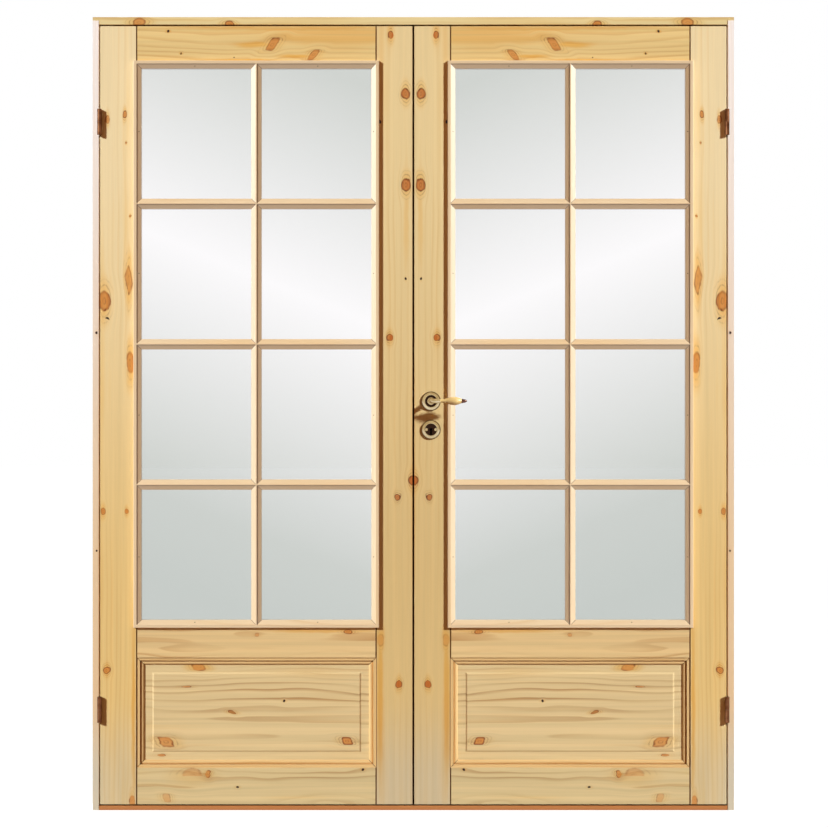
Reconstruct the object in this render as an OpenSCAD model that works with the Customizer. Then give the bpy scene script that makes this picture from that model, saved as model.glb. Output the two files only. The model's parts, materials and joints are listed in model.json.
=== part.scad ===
// A pair of glazed pine doors in their frame, closed and flush with the frame's front.
// X runs to the right, Y to the back and Z up. The origin lies on the floor, in the middle of the
// width and in the middle of the leaves' thickness.

/* [Frame] */
// Width over the jambs
frame_w = 1690; // [1490:10:1890]
// Height from the floor to the top of the head
frame_h = 2090; // [1990:10:2290]
// Depth of the jambs, the head and the threshold
frame_d = 92; // [80:1:140]
// Width of a jamb's front edge
jamb_face = 17.5; // [16.5:0.5:30]
// Height of the head's front edge
head_face = 19.5; // [19:0.5:40]
// Height of the head above the tops of the jambs
head_cover = 9; // [6:0.5:15]
// How far the stop stands in behind the leaves
stop_w = 14; // [12:0.5:20]
// Height of the threshold under the leaves
threshold_h = 11.5; // [10.5:0.5:20]
// How far the threshold's stop rises above that
threshold_stop_h = 14; // [12:0.5:20]
// Bevel along the back of the threshold
threshold_bevel = 8; // [4:0.5:12]
// Bevel on the edges of the frame, on the inner edges of the stiles and on the rails' ends
arris = 1.8; // [0.4:0.1:2.5]
// Smaller bevel on the outer edges of the stiles
edge_ease = 0.8; // [0.4:0.1:2]

/* [Gaps round the leaves] */
// Gap between a leaf and its jamb
side_gap = 2.5; // [2:0.1:4]
// Gap above the leaves
top_gap = 4.5; // [2:0.1:5]
// Gap under the leaves
floor_gap = 4; // [3:0.1:6]
// Gap between the two leaves
meeting_gap = 4; // [4:0.1:6.5]
// Gap between a leaf's back and the stop, for the seal
seal_gap = 3; // [2:0.1:5]
// Width of a seal strip's kerf
kerf_w = 4; // [3:0.5:5]
// Depth of a seal strip's kerf
kerf_d = 6; // [4:0.5:8]
// Distance from a leaf's face to the seal strip in its meeting edge
meeting_seal_in = 5; // [4:0.1:6]

/* [Leaf] */
// Thickness of a leaf
leaf_t = 40; // [36:1:50]
// Width of a stile
stile_w = 96; // [92:1:120]
// Height of the top rail
top_rail_h = 99.5; // [90:0.5:140]
// Height of the middle rail
mid_rail_h = 87; // [80:1:140]
// Height of the bottom rail
bottom_rail_h = 96.5; // [80:0.5:200]
// Height of the panel's opening
panel_open_h = 290; // [200:0.5:600]
// Diameter of a rail dowel
dowel_d = 12; // [8:1:14]
// Length of a rail dowel
dowel_len = 100; // [60:5:120]
// Distance from a rail's edge to its dowel
dowel_inset = 28; // [22:1:32]

/* [Glazing lattice] */
// Columns of panes
pane_cols = 2; // [1:1:3]
// Rows of panes
pane_rows = 4; // [2:1:5]
// Thickness of the glass
glass_t = 4; // [3:0.5:6]
// Distance from the leaf's front to the glass
glass_in = 12; // [8:0.5:18]
// Gap round the glass in its opening
glass_play = 1.5; // [1:0.5:4]
// How far the lattice laps over the stiles and rails
lattice_lap = 8; // [5:0.5:10]
// How far the lattice stands out from the leaf's face
lattice_rise = 9; // [6:0.5:12]
// Width of the flat lip round the lattice
lip_w = 8.5; // [7:0.5:12]
// Radius on the lip's outer edge
lip_round = 1.5; // [1:0.5:4]
// Width of the ridge along a bar
ridge_w = 3; // [2:0.5:6]
// Step from the lip or the ridge down to the slope
quirk = 1.3; // [0.6:0.1:3]
// Width of a slope beside the glass on the front lattice
slope_w = 12; // [8:0.5:14]
// Width of a slope on the back lattice, which stays hidden behind the front one
back_slope_w = 5.5; // [4:0.5:14]
// Height of the slope's low edge above the leaf's face
slope_foot = 3; // [0:0.5:4]
// Clearance between the lattice and its opening
lattice_fit = 0.25; // [0.1:0.05:0.5]

/* [Bottom panel] */
// Thickness of the panel's edge
tongue_t = 16; // [10:0.5:16]
// Depth of the groove that holds it
groove_d = 10; // [8:0.5:14]
// Room for the panel to swell in its groove
panel_play = 2; // [1:0.5:3]
// Clearance on each side of the panel's edge
tongue_fit = 0.2; // [0.1:0.05:0.4]
// Thickness of the raised field
field_t = 21; // [20:0.5:24]
// Height of the step round the field
field_step = 2; // [1:0.1:2.4]
// Width of that step's sloping face
shoulder_w = 4; // [2:0.5:6]
// Distance from the opening's edge to the field
field_inset = 44; // [36:1:60]
// Width of the panel moulding
moulding_w = 19; // [15.5:0.5:26]
// How far the moulding lies below the leaf's face
moulding_sink = 3; // [1:0.5:4]
// Width of the moulding's flat outer fillet
fillet_w = 8; // [5:0.5:10]
// How far the bead beside that fillet lies below it
bead_drop = 4; // [2:0.5:5]

/* [Hinges] */
// Diameter of a hinge barrel
barrel_d = 12; // [11:0.5:13]
// Height of a hinge
hinge_h = 68; // [60:1:100]
// Distance from a barrel's axis to the leaf's face
hinge_out = 6.5; // [6.5:0.1:8]
// Distance from the leaf's bottom to the lower hinge's middle
hinge_low = 250; // [180:5:350]
// Distance from the leaf's top to the upper hinge's middle
hinge_top = 253; // [180:1:350]
// Thickness of a hinge plate
plate_t = 2; // [1.5:0.1:2.5]
// Depth of a hinge plate in the edge
plate_d = 30; // [28:1:34]
// Diameter of the hinge pin
pin_d = 7; // [5:0.5:8]
// Running clearance round the pin
pin_fit = 0.05; // [0.02:0.01:0.1]
// Gap between the two knuckles of a hinge
knuckle_gap = 0.4; // [0.3:0.1:1]
// Thickness of the closed end of a knuckle
knuckle_cap = 3; // [2:0.5:5]
// Shank diameter of a hinge screw
screw_d = 4; // [3:0.5:4.5]
// Head diameter of a hinge screw
screw_head_d = 7.6; // [6:0.2:8]
// Shank length of a hinge screw
screw_len = 12; // [8:1:12]

/* [Lock] */
// Height of the lever's axis above the floor
lever_height = 1078; // [950:1:1150]
// Distance from the leaf's edge to the lever's axis
backset = 44.5; // [42:0.5:55]
// Distance from the lever's axis down to the keyhole
key_drop = 75; // [72:1:90]
// Thickness of the lock's faceplate and of the strike plate
face_t = 3; // [2:0.5:4]
// Width of these plates
face_w = 22; // [20:1:26]
// Thickness of the lock case
case_t = 16; // [14:1:18]
// Wall of the lock case
case_wall = 2; // [1.5:0.1:2.5]
// Case above the lever's axis
case_above = 45; // [40:1:60]
// Case below the keyhole
case_below = 30; // [25:1:50]
// Case beyond the lever's axis
case_beyond = 28; // [27:1:32]
// Room round a bolt in its guides
bolt_fit = 0.3; // [0.2:0.05:0.5]
// How far the latch bolt stands out of the faceplate
latch_out = 12; // [8:0.5:12]
// Height of the latch bolt
latch_h = 18.5; // [17:0.5:20]
// Height of the dead bolt
dead_h = 26; // [20:1:28]
// Radius of the follower's arm
arm_r = 17; // [15.5:0.5:18]
// Width of the follower's arm
arm_w = 6; // [4:0.5:6]
// Diameter of the follower
follower_d = 18; // [16:0.5:18]
// Side of the square spindle
spindle_s = 8; // [7:1:9]
// Depth of a bolt's pocket behind the strike plate
strike_pocket = 16; // [14:1:22]

/* [Lever handle] */
// Diameter of a rose and of a key escutcheon
rose_d = 51; // [46:1:56]
// Thickness of a rose
rose_t = 7; // [5:0.5:10]
// Thickness of a rose at its rim
rose_rim = 2; // [1:0.5:3]
// Diameter of the rose's flat middle
rose_flat_d = 36; // [30:1:40]
// Depth of the dished middle below the ring round it
rose_dish = 1; // [0.5:0.1:2]
// Diameter of the lever's shank at the rose
shank_d = 14; // [12.5:0.5:16]
// Clearance between the shank and the rose
shank_fit = 0.3; // [0.2:0.05:0.5]
// Distance from the leaf's face to the grip's axis
grip_out = 55; // [42:1:60]
// Bend radius of the lever
bend_r = 14; // [12:1:16]
// Diameter of the lever after its bend
neck_d = 12; // [10:0.5:13]
// Distance from the lever's axis to the grip
grip_start = 24; // [22:1:30]
// Length of the grip
grip_len = 56; // [45:1:80]
// Largest diameter of the grip
grip_d = 22; // [18:0.5:26]
// Diameter of the grip at the neck
grip_neck_d = 8.4; // [7:0.2:10]
// Diameter of the grip at its tip
grip_end_d = 10.4; // [8:0.2:12]
// Length of the grip's long taper
grip_swell = 37; // [25:1:42]
// Length of the metal tip
tip_len = 14; // [10:0.5:20]
// Distance of each escutcheon screw from the keyhole
escutcheon_screw_x = 12.4; // [11:0.2:14]

/* [Flush bolts] */
// Length of a flush bolt's face
bolt_face_len = 140; // [120:5:180]
// Distance from the leaf's end to the face
bolt_face_end = 90; // [60:5:150]
// Width of the face
bolt_face_w = 20; // [18:1:24]
// Thickness of the face
bolt_face_t = 2.5; // [2:0.5:3]
// Depth of the case from the leaf's edge
bolt_case_d = 17.5; // [17:0.5:20]
// Diameter of the bolt's rod
rod_d = 9; // [7:0.5:9]
// Distance from the leaf's edge to the rod's axis
rod_x = 10; // [9.5:0.1:10.5]
// How far the bolt lies inside the leaf's end when drawn back
rod_sink = 0.5; // [0.3:0.1:1]
// Travel that the finger slot allows
rod_travel = 15; // [12:1:16]
// Depth of the socket in the threshold
socket_d = 9; // [8.5:0.5:9.5]
// Wall of that socket
socket_wall = 3; // [2:0.5:4]
// Thickness of the strike in the head
head_strike_t = 2; // [1.5:0.5:3]

/* [Wall fixings] */
// Diameter of a fixing hole through a jamb
fixing_d = 10; // [8:0.5:12]
// Height of the lowest fixing
fixing_low = 250; // [150:10:400]
// Distance from the head's top to the highest fixing
fixing_top = 240; // [150:10:400]
// Distance between the two inner fixings
fixing_inner = 600; // [400:10:900]

/* [Hidden] */
$fn = 64;
arc_step = 15;
through = 400;
over = 1;
leaf_x = frame_w / 2 - jamb_face - side_gap;
leaf_w = leaf_x - meeting_gap / 2;
leaf_z = threshold_h + floor_gap;
leaf_h = frame_h - head_face - top_gap - leaf_z;
front_y = -leaf_t / 2;
back_y = front_y + frame_d;
stop_y = leaf_t / 2 + seal_gap;
rebate_z = frame_h - head_face;
jamb_h = frame_h - head_cover;
stop_x = frame_w / 2 - jamb_face - stop_w;
threshold_top = threshold_h + threshold_stop_h;
threshold_seal_z = leaf_z + (threshold_stop_h - floor_gap) / 2;
seal_clear = 0.4;
seal_flare = 1;
seal_lip = kerf_w + 2 * seal_flare;
seal_taper = 0.5;
meeting_seal_y = leaf_t / 2 - meeting_seal_in;
swing_room = pow(leaf_t + hinge_out, 2) / (2 * leaf_w);
front_seal_clear = 0.8;
swing_spare = 0.2;
back_seal_clear = swing_room + swing_spare;
rail_w = leaf_w - 2 * stile_w;
mid_rail_z = bottom_rail_h + panel_open_h;
glass_z = mid_rail_z + mid_rail_h;
top_rail_z = leaf_h - top_rail_h;
glass_open_h = top_rail_z - glass_z;
rails = [[0, bottom_rail_h], [mid_rail_z, mid_rail_h], [top_rail_z, top_rail_h]];
lattice_w = rail_w + 2 * lattice_lap;
lattice_h = glass_open_h + 2 * lattice_lap;
glass_back = leaf_t - glass_in - glass_t;
panel_seat = (leaf_t - tongue_t) / 2;
panel_w = rail_w + 2 * (groove_d - panel_play);
panel_h = panel_open_h + 2 * (groove_d - panel_play);
moulding_foot = 1;
mitre_gap = 0.3;
hinge_x = leaf_x + side_gap / 2;
hinge_y = front_y - hinge_out;
hinge_heights = [leaf_z + hinge_low, leaf_z + leaf_h - hinge_top];
plate_setback = 0.5;
plate_y = hinge_out + plate_setback;
knuckle_h = (hinge_h - knuckle_gap) / 2;
pin_end_gap = 2;
screw_end = 12;
screw_spread = hinge_h / 2 - screw_end;
screw_row = 10;
lever_z = lever_height - leaf_z;
key_z = lever_z - key_drop;
bolt_t = case_t - 2 * case_wall - 2 * bolt_fit;
follower_gap = 1.5;
follower_room = 1;
latch_z = lever_z + follower_d / 2 + follower_gap;
latch_mid = latch_z + latch_h / 2;
latch_past = 8;
latch_tail = backset + arm_w / 2 + latch_past;
latch_flat = 2;
arm_notch_h = arm_r + arm_w / 2 - follower_d / 2;
arm_play = 1;
arm_t = bolt_t - 2 * arm_play;
dead_over_key = 9;
dead_z = key_z + dead_over_key;
dead_mid = dead_z + dead_h / 2;
dead_len = 34;
dead_tail_h = 12;
dead_past = 6;
key_talon = 12;
talon_cover = 2;
case_h = case_above + key_drop + case_below;
fixing_outer = frame_h - fixing_top - fixing_low;
fixing_mid = fixing_low + fixing_outer / 2;
case_mid = lever_z + case_above - case_h / 2;
case_d = backset + case_beyond - face_t;
face_past = 55;
face_len = case_h + face_past;
strike_mid = (latch_mid + dead_mid) / 2;
strike_past = 50;
strike_len = latch_mid - dead_mid + dead_h + strike_past;
strike_room = 0.8;
key_r = 4.2;
key_slot = [5, 14];
ward_t = 2;
ward_over = 1.5;
spindle_short = 4;
spindle_len = leaf_t + 2 * (grip_out - bend_r - spindle_short);
collar_step = 2.5;
collar_d = shank_d + 2 * collar_step;
collar_t = 3;
ring_w = 2;
tip_bead = 0.6;
escutcheon_screw_bite = 6;
rod_fit = 0.4;
rod_slack = 0.8;
bolt_mid = bolt_face_end + bolt_face_len / 2;
bolt_face_past = 20;
bolt_case_len = bolt_face_len - 2 * bolt_face_past;
bolt_case_w = 16;
bolt_wall = 2;
carriage = [9, bolt_case_w - 2 * bolt_wall - 2 * rod_fit, 20];
stud_d = 6;
stud_sink = 0.6;
head_strike = [26, 20];
head_strike_depth = 17;

PINE = [0.90, 0.77, 0.55];
PALE_PINE = [0.94, 0.85, 0.68];
LATTICE_PINE = [0.92, 0.78, 0.56];
HARDWOOD = [0.74, 0.50, 0.30];
BEECH = [0.82, 0.66, 0.46];
GLASS = [0.86, 0.89, 0.87, 0.5];
BRASS = [0.62, 0.50, 0.26];
STEEL = [0.62, 0.63, 0.65];
NICKEL = [0.75, 0.74, 0.72];
CREAM = [0.93, 0.85, 0.68];
RUBBER = [0.06, 0.06, 0.06];

// Placing: the left leaf starts at its hinge edge, and each meeting edge is its own start
module left_leaf() translate([-leaf_x, 0, leaf_z]) children();
module right_leaf() mirror([1, 0, 0]) left_leaf() children();
module lock_edge() translate([meeting_gap / 2, 0, leaf_z]) children();
module strike_edge() mirror([1, 0, 0]) lock_edge() children();
module lever_axis() lock_edge() translate([backset, 0, lever_z]) children();
module key_axis() lock_edge() translate([backset, 0, key_z]) children();
module to_back() mirror([0, 1, 0]) children();
module both_hands() {
  children();
  mirror([1, 0, 0]) children();
}
module both_faces() {
  children();
  to_back() children();
}
module at_hinges() for (z = hinge_heights) translate([-hinge_x, hinge_y, z]) children();
module at_leaf_top() translate([0, 0, leaf_h]) mirror([0, 0, 1]) children();

// Shared outlines
module eased_section(w, d, outer, inner) {
  polygon([
    [outer, -d / 2], [w - inner, -d / 2], [w, -d / 2 + inner], [w, d / 2 - inner],
    [w - inner, d / 2], [outer, d / 2], [0, d / 2 - outer], [0, -d / 2 + outer]
  ]);
}
module round_ended(w, len) {
  square([w, len - w], center = true);
  for (s = [-1, 1]) translate([0, s * (len - w) / 2]) circle(d = w);
}
module edge_plate(t, w, len) rotate([90, 0, 90]) linear_extrude(t) round_ended(w, len);
module along_x(len) rotate([180, -90, 0]) linear_extrude(len) children();
module box(size, at) translate(at - size / 2) cube(size);
module face_rod(r, len) rotate([90, 0, 0]) cylinder(r = r, h = len);
module cross_rod(r, len) rotate([90, 0, 0]) cylinder(r = r, h = len, center = true);

// A profile run round a rectangle in four lengths, mitred at the corners with a fine gap. The
// profile's x is the distance in from the edge, and its y is the height towards the front.
module mitred_length(len, reach) {
  intersection() {
    along_x(len) children();
    rotate([90, 0, 0]) linear_extrude(through, center = true) polygon([
      [mitre_gap, 0], [len - mitre_gap, 0],
      [len - reach - mitre_gap, reach], [reach + mitre_gap, reach]
    ]);
  }
}
module mitred_frame(w, h, reach) {
  for (side = [0 : 3]) {
    run = side % 2 == 0 ? w : h;
    rise = side % 2 == 0 ? h : w;
    translate([w / 2, 0, h / 2]) rotate([0, 90 * side, 0]) translate([-run / 2, 0, -rise / 2])
      mitred_length(run, reach) children();
  }
}

// Frame
module kerf_section() translate([-kerf_w / 2, 0]) square([kerf_w, kerf_d]);
module seal_section() {
  polygon([
    [-kerf_w / 2, kerf_d], [-kerf_w / 2, 0], [-seal_lip / 2, 0], [-kerf_w / 2, seal_clear - seal_gap],
    [kerf_w / 2, seal_clear - seal_gap], [seal_lip / 2, 0], [kerf_w / 2, 0], [kerf_w / 2, kerf_d]
  ]);
}
module jamb_section() {
  stop_in = jamb_face + stop_w;
  difference() {
    polygon([
      [0, front_y], [jamb_face - arris, front_y], [jamb_face, front_y + arris], [jamb_face, stop_y],
      [stop_in - arris, stop_y], [stop_in, stop_y + arris], [stop_in, back_y - arris],
      [stop_in - arris, back_y], [0, back_y]
    ]);
    translate([jamb_face + stop_w / 2, stop_y]) kerf_section();
  }
}
module hinge_mortise(thick) {
  translate([side_gap / 2, hinge_out, -hinge_h / 2]) cube([thick, plate_setback + plate_d, hinge_h]);
}
module at_screws() {
  for (place = [[screw_row, -screw_spread], [2 * screw_row, 0], [screw_row, screw_spread]])
    translate([side_gap / 2, plate_y + place[0], place[1]]) children();
}
module hinge_screw() {
  rotate([0, 90, 0]) {
    cylinder(d1 = screw_head_d, d2 = screw_d, h = plate_t);
    translate([0, 0, plate_t]) cylinder(d = screw_d, h = screw_len);
  }
}
module jamb() {
  difference() {
    translate([-frame_w / 2, 0, 0]) linear_extrude(jamb_h) jamb_section();
    at_hinges() mirror([1, 0, 0]) {
      hinge_mortise(plate_t);
      at_screws() hinge_screw();
    }
    for (dz = [-fixing_outer, -fixing_inner, fixing_inner, fixing_outer])
      translate([-stop_x, (stop_y + back_y) / 2, fixing_mid + dz / 2])
        rotate([0, 90, 0]) cylinder(d = fixing_d, h = 2 * through, center = true);
  }
}
module left_jamb() color(PALE_PINE) jamb();
module right_jamb() color(PALE_PINE) mirror([1, 0, 0]) jamb();
module jamb_notch() {
  rise = jamb_h - rebate_z + over;
  translate([-frame_w / 2 - over, front_y - over, rebate_z - over])
    cube([jamb_face + over, frame_d + 2 * over, rise]);
  translate([-stop_x - stop_w - over, stop_y, rebate_z - over])
    cube([stop_w + over, back_y - stop_y + over, rise]);
}
module head() {
  color(PINE) difference() {
    union() {
      translate([-frame_w / 2, front_y, rebate_z]) cube([frame_w, frame_d, head_face]);
      translate([-stop_x, stop_y, rebate_z - stop_w]) cube([2 * stop_x, back_y - stop_y, stop_w]);
    }
    both_hands() jamb_notch();
    translate([-stop_x, stop_y, rebate_z - stop_w / 2])
      mirror([0, 1, 0]) along_x(2 * stop_x) kerf_section();
    strike_edge() translate([rod_x, 0, rebate_z - leaf_z]) {
      box([head_strike[0], head_strike[1], 2 * head_strike_t], [0, 0, 0]);
      cylinder(d = rod_d + 2 * rod_slack, h = head_strike_depth);
    }
  }
}
module threshold_section() {
  polygon([
    [front_y, 0], [back_y, 0], [back_y, threshold_top - threshold_bevel],
    [back_y - threshold_bevel, threshold_top], [stop_y + arris, threshold_top],
    [stop_y, threshold_top - arris], [stop_y, threshold_h], [front_y + arris, threshold_h],
    [front_y, threshold_h - arris]
  ]);
}
module threshold() {
  step_x = frame_w / 2 - jamb_face;
  color(HARDWOOD) difference() {
    rotate([90, 0, 90]) linear_extrude(2 * step_x, center = true) threshold_section();
    both_hands() translate([stop_x, stop_y, -over])
      cube([stop_w + over, frame_d, threshold_top + 2 * over]);
    translate([-stop_x, stop_y, threshold_seal_z])
      mirror([0, 1, 0]) along_x(2 * stop_x) kerf_section();
    strike_edge() translate([rod_x, 0, threshold_h - leaf_z - socket_d])
      cylinder(d = rod_d + 2 * (rod_slack + socket_wall), h = socket_d + over);
  }
}
module frame_seal() {
  color(RUBBER) {
    both_hands() translate([-stop_x - stop_w / 2, stop_y, threshold_h])
      linear_extrude(rebate_z - threshold_h) seal_section();
    for (z = [threshold_seal_z, rebate_z - stop_w / 2])
      translate([-stop_x + seal_lip, stop_y, z])
        mirror([0, 1, 0]) along_x(2 * (stop_x - seal_lip)) seal_section();
  }
}
module head_bolt_strike() {
  color(STEEL) strike_edge() translate([rod_x, 0, rebate_z - leaf_z]) difference() {
    box([head_strike[0], head_strike[1], head_strike_t], [0, 0, head_strike_t / 2]);
    cylinder(d = rod_d + 2 * rod_slack, h = through, center = true);
  }
}
module threshold_bolt_socket() {
  color(BRASS) strike_edge() translate([rod_x, 0, threshold_h - leaf_z - socket_d]) difference() {
    cylinder(d = rod_d + 2 * (rod_slack + socket_wall), h = socket_d);
    cylinder(d = rod_d + 2 * rod_slack, h = through, center = true);
  }
}

// Hinges, seen from the left jamb: the leaf lies towards +x and the frame towards -x
module hinge_half(bore_d) {
  difference() {
    union() {
      translate([side_gap / 2, plate_y, -hinge_h / 2]) cube([plate_t, plate_d, hinge_h]);
      translate([side_gap / 2, 0, knuckle_gap / 2]) cube([plate_t, plate_y + over, knuckle_h]);
      translate([0, 0, knuckle_gap / 2]) cylinder(d = barrel_d, h = knuckle_h);
    }
    translate([0, 0, -through]) cylinder(d = bore_d, h = through + hinge_h / 2 - knuckle_cap);
    at_screws() hinge_screw();
  }
}
module leaf_halves() color(BRASS) at_hinges() hinge_half(pin_d + 2 * pin_fit);
module frame_hinge_halves() {
  color(BRASS) both_hands() at_hinges() rotate([0, 180, 0]) hinge_half(pin_d);
}
module hinge_pins() {
  low = hinge_h / 2 - knuckle_cap;
  color(STEEL) both_hands() at_hinges() translate([0, 0, -low])
    cylinder(d = pin_d, h = 2 * low - pin_end_gap);
}
module leaf_screws() color(BRASS) at_hinges() at_screws() hinge_screw();
module frame_hinge_screws() {
  color(BRASS) both_hands() at_hinges() mirror([1, 0, 0]) at_screws() hinge_screw();
}
module left_hinge_halves() leaf_halves();
module right_hinge_halves() mirror([1, 0, 0]) leaf_halves();
module left_hinge_screws() leaf_screws();
module right_hinge_screws() mirror([1, 0, 0]) leaf_screws();

// Stiles and rails, each stile with its outer edge at x = 0
module dowel_row(from) {
  for (rail = rails, dz = [dowel_inset, rail[1] - dowel_inset])
    translate([from, 0, rail[0] + dz]) rotate([0, 90, 0])
      cylinder(d = dowel_d, h = dowel_len, center = true);
}
module stile() {
  difference() {
    linear_extrude(leaf_h) eased_section(stile_w, leaf_t, edge_ease, arris);
    box(
      [2 * groove_d, tongue_t + 2 * tongue_fit, panel_open_h + 2 * groove_d],
      [stile_w, 0, bottom_rail_h + panel_open_h / 2]
    );
    dowel_row(stile_w);
  }
}
module hinge_stile() {
  color(PINE) difference() {
    left_leaf() stile();
    at_hinges() {
      hinge_mortise(plate_t);
      at_screws() hinge_screw();
    }
  }
}
module left_hinge_stile() hinge_stile();
module right_hinge_stile() mirror([1, 0, 0]) hinge_stile();
module left_meeting_stile() {
  color(PINE) strike_edge() difference() {
    stile();
    strike_outline();
    bolt_pocket(latch_mid, latch_h);
    bolt_pocket(dead_mid, dead_h);
    bolt_mortise();
    at_leaf_top() bolt_mortise();
    meeting_kerf(meeting_seal_y);
  }
}
module right_meeting_stile() {
  color(PINE) difference() {
    lock_edge() difference() {
      stile();
      translate([-over, 0, case_mid]) edge_plate(face_t + over, face_w, face_len);
      box([case_d, case_t, case_h], [face_t + case_d / 2, 0, case_mid]);
      meeting_kerf(-meeting_seal_y);
    }
    lever_axis() cross_rod(follower_d / 2 + follower_room, through);
    key_axis() keyhole(through);
    key_axis() both_faces() escutcheon_screw_pair();
  }
}
module rail(z, h) {
  top_groove = z == 0;
  difference() {
    translate([stile_w, 0, z]) linear_extrude(h) eased_section(rail_w, leaf_t, arris, arris);
    if (z < glass_z)
      box(
        [rail_w + 2 * over, tongue_t + 2 * tongue_fit, 2 * groove_d],
        [leaf_w / 2, 0, top_groove ? z + h : z]
      );
    dowel_row(stile_w);
    dowel_row(leaf_w - stile_w);
  }
}
module bottom_rail() color(PINE) rail(rails[0][0], rails[0][1]);
module mid_rail() color(PINE) rail(rails[1][0], rails[1][1]);
module top_rail() color(PINE) rail(rails[2][0], rails[2][1]);
module dowels() {
  color(BEECH) {
    dowel_row(stile_w);
    dowel_row(leaf_w - stile_w);
  }
}
module left_bottom_rail() left_leaf() bottom_rail();
module left_mid_rail() left_leaf() mid_rail();
module left_top_rail() left_leaf() top_rail();
module left_dowels() left_leaf() dowels();
module right_bottom_rail() right_leaf() bottom_rail();
module right_mid_rail() right_leaf() mid_rail();
module right_top_rail() right_leaf() top_rail();
module right_dowels() right_leaf() dowels();

// Bottom panel: the same fielded section across its width and its height
module fielded_section(size, open) {
  edge = size / 2;
  slope = open / 2 - moulding_w;
  field = open / 2 - field_inset;
  foot = field + shoulder_w;
  low = tongue_t / 2;
  high = field_t / 2;
  half = [
    [edge, low], [slope, low], [foot, high - field_step], [field, high],
    [-field, high], [-foot, high - field_step], [-slope, low], [-edge, low]
  ];
  polygon(concat(half, [for (p = half) -p]));
}
module panel() {
  color(PINE) translate([leaf_w / 2, 0, bottom_rail_h + panel_open_h / 2]) intersection() {
    linear_extrude(panel_h, center = true) fielded_section(panel_w, rail_w);
    rotate([90, 0, 90]) linear_extrude(panel_w, center = true)
      rotate(90) fielded_section(panel_h, panel_open_h);
  }
}
module moulding_section() {
  bead_w = (moulding_w - fillet_w) / 2;
  bead_h = panel_seat - moulding_sink - bead_drop - moulding_foot;
  bead = [fillet_w + bead_w, moulding_foot - panel_seat];
  polygon(concat(
    [[0, -panel_seat], [0, -moulding_sink], [fillet_w, -moulding_sink]],
    [for (a = [180 : -arc_step : 0]) bead + [bead_w * cos(a), bead_h * sin(a)]],
    [[moulding_w, -panel_seat]]
  ));
}
module panel_mouldings() {
  color(LATTICE_PINE) both_faces() translate([stile_w, front_y, bottom_rail_h])
    mitred_frame(rail_w, panel_open_h, moulding_w) moulding_section();
}
module left_panel() left_leaf() panel();
module right_panel() right_leaf() panel();
module left_panel_mouldings() left_leaf() panel_mouldings();
module right_panel_mouldings() right_leaf() panel_mouldings();

// Glazing: one sheet of glass between two lattices, each with mitred bars
module glass() {
  color(GLASS) box(
    [rail_w - 2 * glass_play, glass_t, glass_open_h - 2 * glass_play],
    [leaf_w / 2, front_y + glass_in + glass_t / 2, glass_z + glass_open_h / 2]
  );
}
// The outside of a lattice across its width or its height: round outer edges over the leaf's face,
// and a narrower back that reaches in to the glass
module lattice_outline(size, seat) {
  seat_x = lattice_lap + lattice_fit;
  round_edge = [for (a = [180 : -arc_step : 90])
    [lip_round * (1 + cos(a)), lattice_rise - lip_round * (1 - sin(a))]];
  far_edge = [for (i = [len(round_edge) - 1 : -1 : 0]) [size - round_edge[i][0], round_edge[i][1]]];
  polygon(concat(
    [[0, 0]], round_edge, far_edge,
    [[size, 0], [size - seat_x, 0], [size - seat_x, -seat], [seat_x, -seat], [seat_x, 0]]
  ));
}
// A bar with a slope down to the glass on each side. A bar half outside the lattice is a member.
module lattice_bar_section(seat, slope, top_w) {
  ridge = top_w / 2;
  edge = ridge + slope;
  high = lattice_rise + over;
  low = -seat - over;
  polygon([
    [-edge, low], [-edge, slope_foot], [-ridge, lattice_rise - quirk], [-ridge, high],
    [ridge, high], [ridge, lattice_rise - quirk], [edge, slope_foot], [edge, low]
  ]);
}
module lattice_bars(count, across, run, seat, slope) {
  pitch = (across - 2 * lip_w + ridge_w) / count;
  for (i = [0 : count]) {
    edge_bar = i == 0 || i == count;
    at = edge_bar ? i / count * across : lip_w - ridge_w / 2 + i * pitch;
    translate([-over, 0, at]) along_x(run + 2 * over)
      lattice_bar_section(seat, slope, edge_bar ? 2 * lip_w : ridge_w);
  }
}
module lattice(seat, slope) {
  intersection() {
    mirror([0, 0, 1]) rotate([0, 90, 0]) along_x(lattice_h) lattice_outline(lattice_w, seat);
    along_x(lattice_w) lattice_outline(lattice_h, seat);
    union() {
      lattice_bars(pane_rows, lattice_h, lattice_w, seat, slope);
      mirror([0, 0, 1]) rotate([0, 90, 0]) lattice_bars(pane_cols, lattice_w, lattice_h, seat, slope);
    }
  }
}
module placed_lattice(seat, slope) {
  color(LATTICE_PINE) translate([stile_w - lattice_lap, front_y, glass_z - lattice_lap])
    lattice(seat, slope);
}
module front_lattice() placed_lattice(glass_in, slope_w);
module back_lattice() to_back() placed_lattice(glass_back, back_slope_w);
module left_glass() left_leaf() glass();
module right_glass() right_leaf() glass();
module left_front_lattice() left_leaf() front_lattice();
module left_back_lattice() left_leaf() back_lattice();
module right_front_lattice() right_leaf() front_lattice();
module right_back_lattice() right_leaf() back_lattice();

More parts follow.
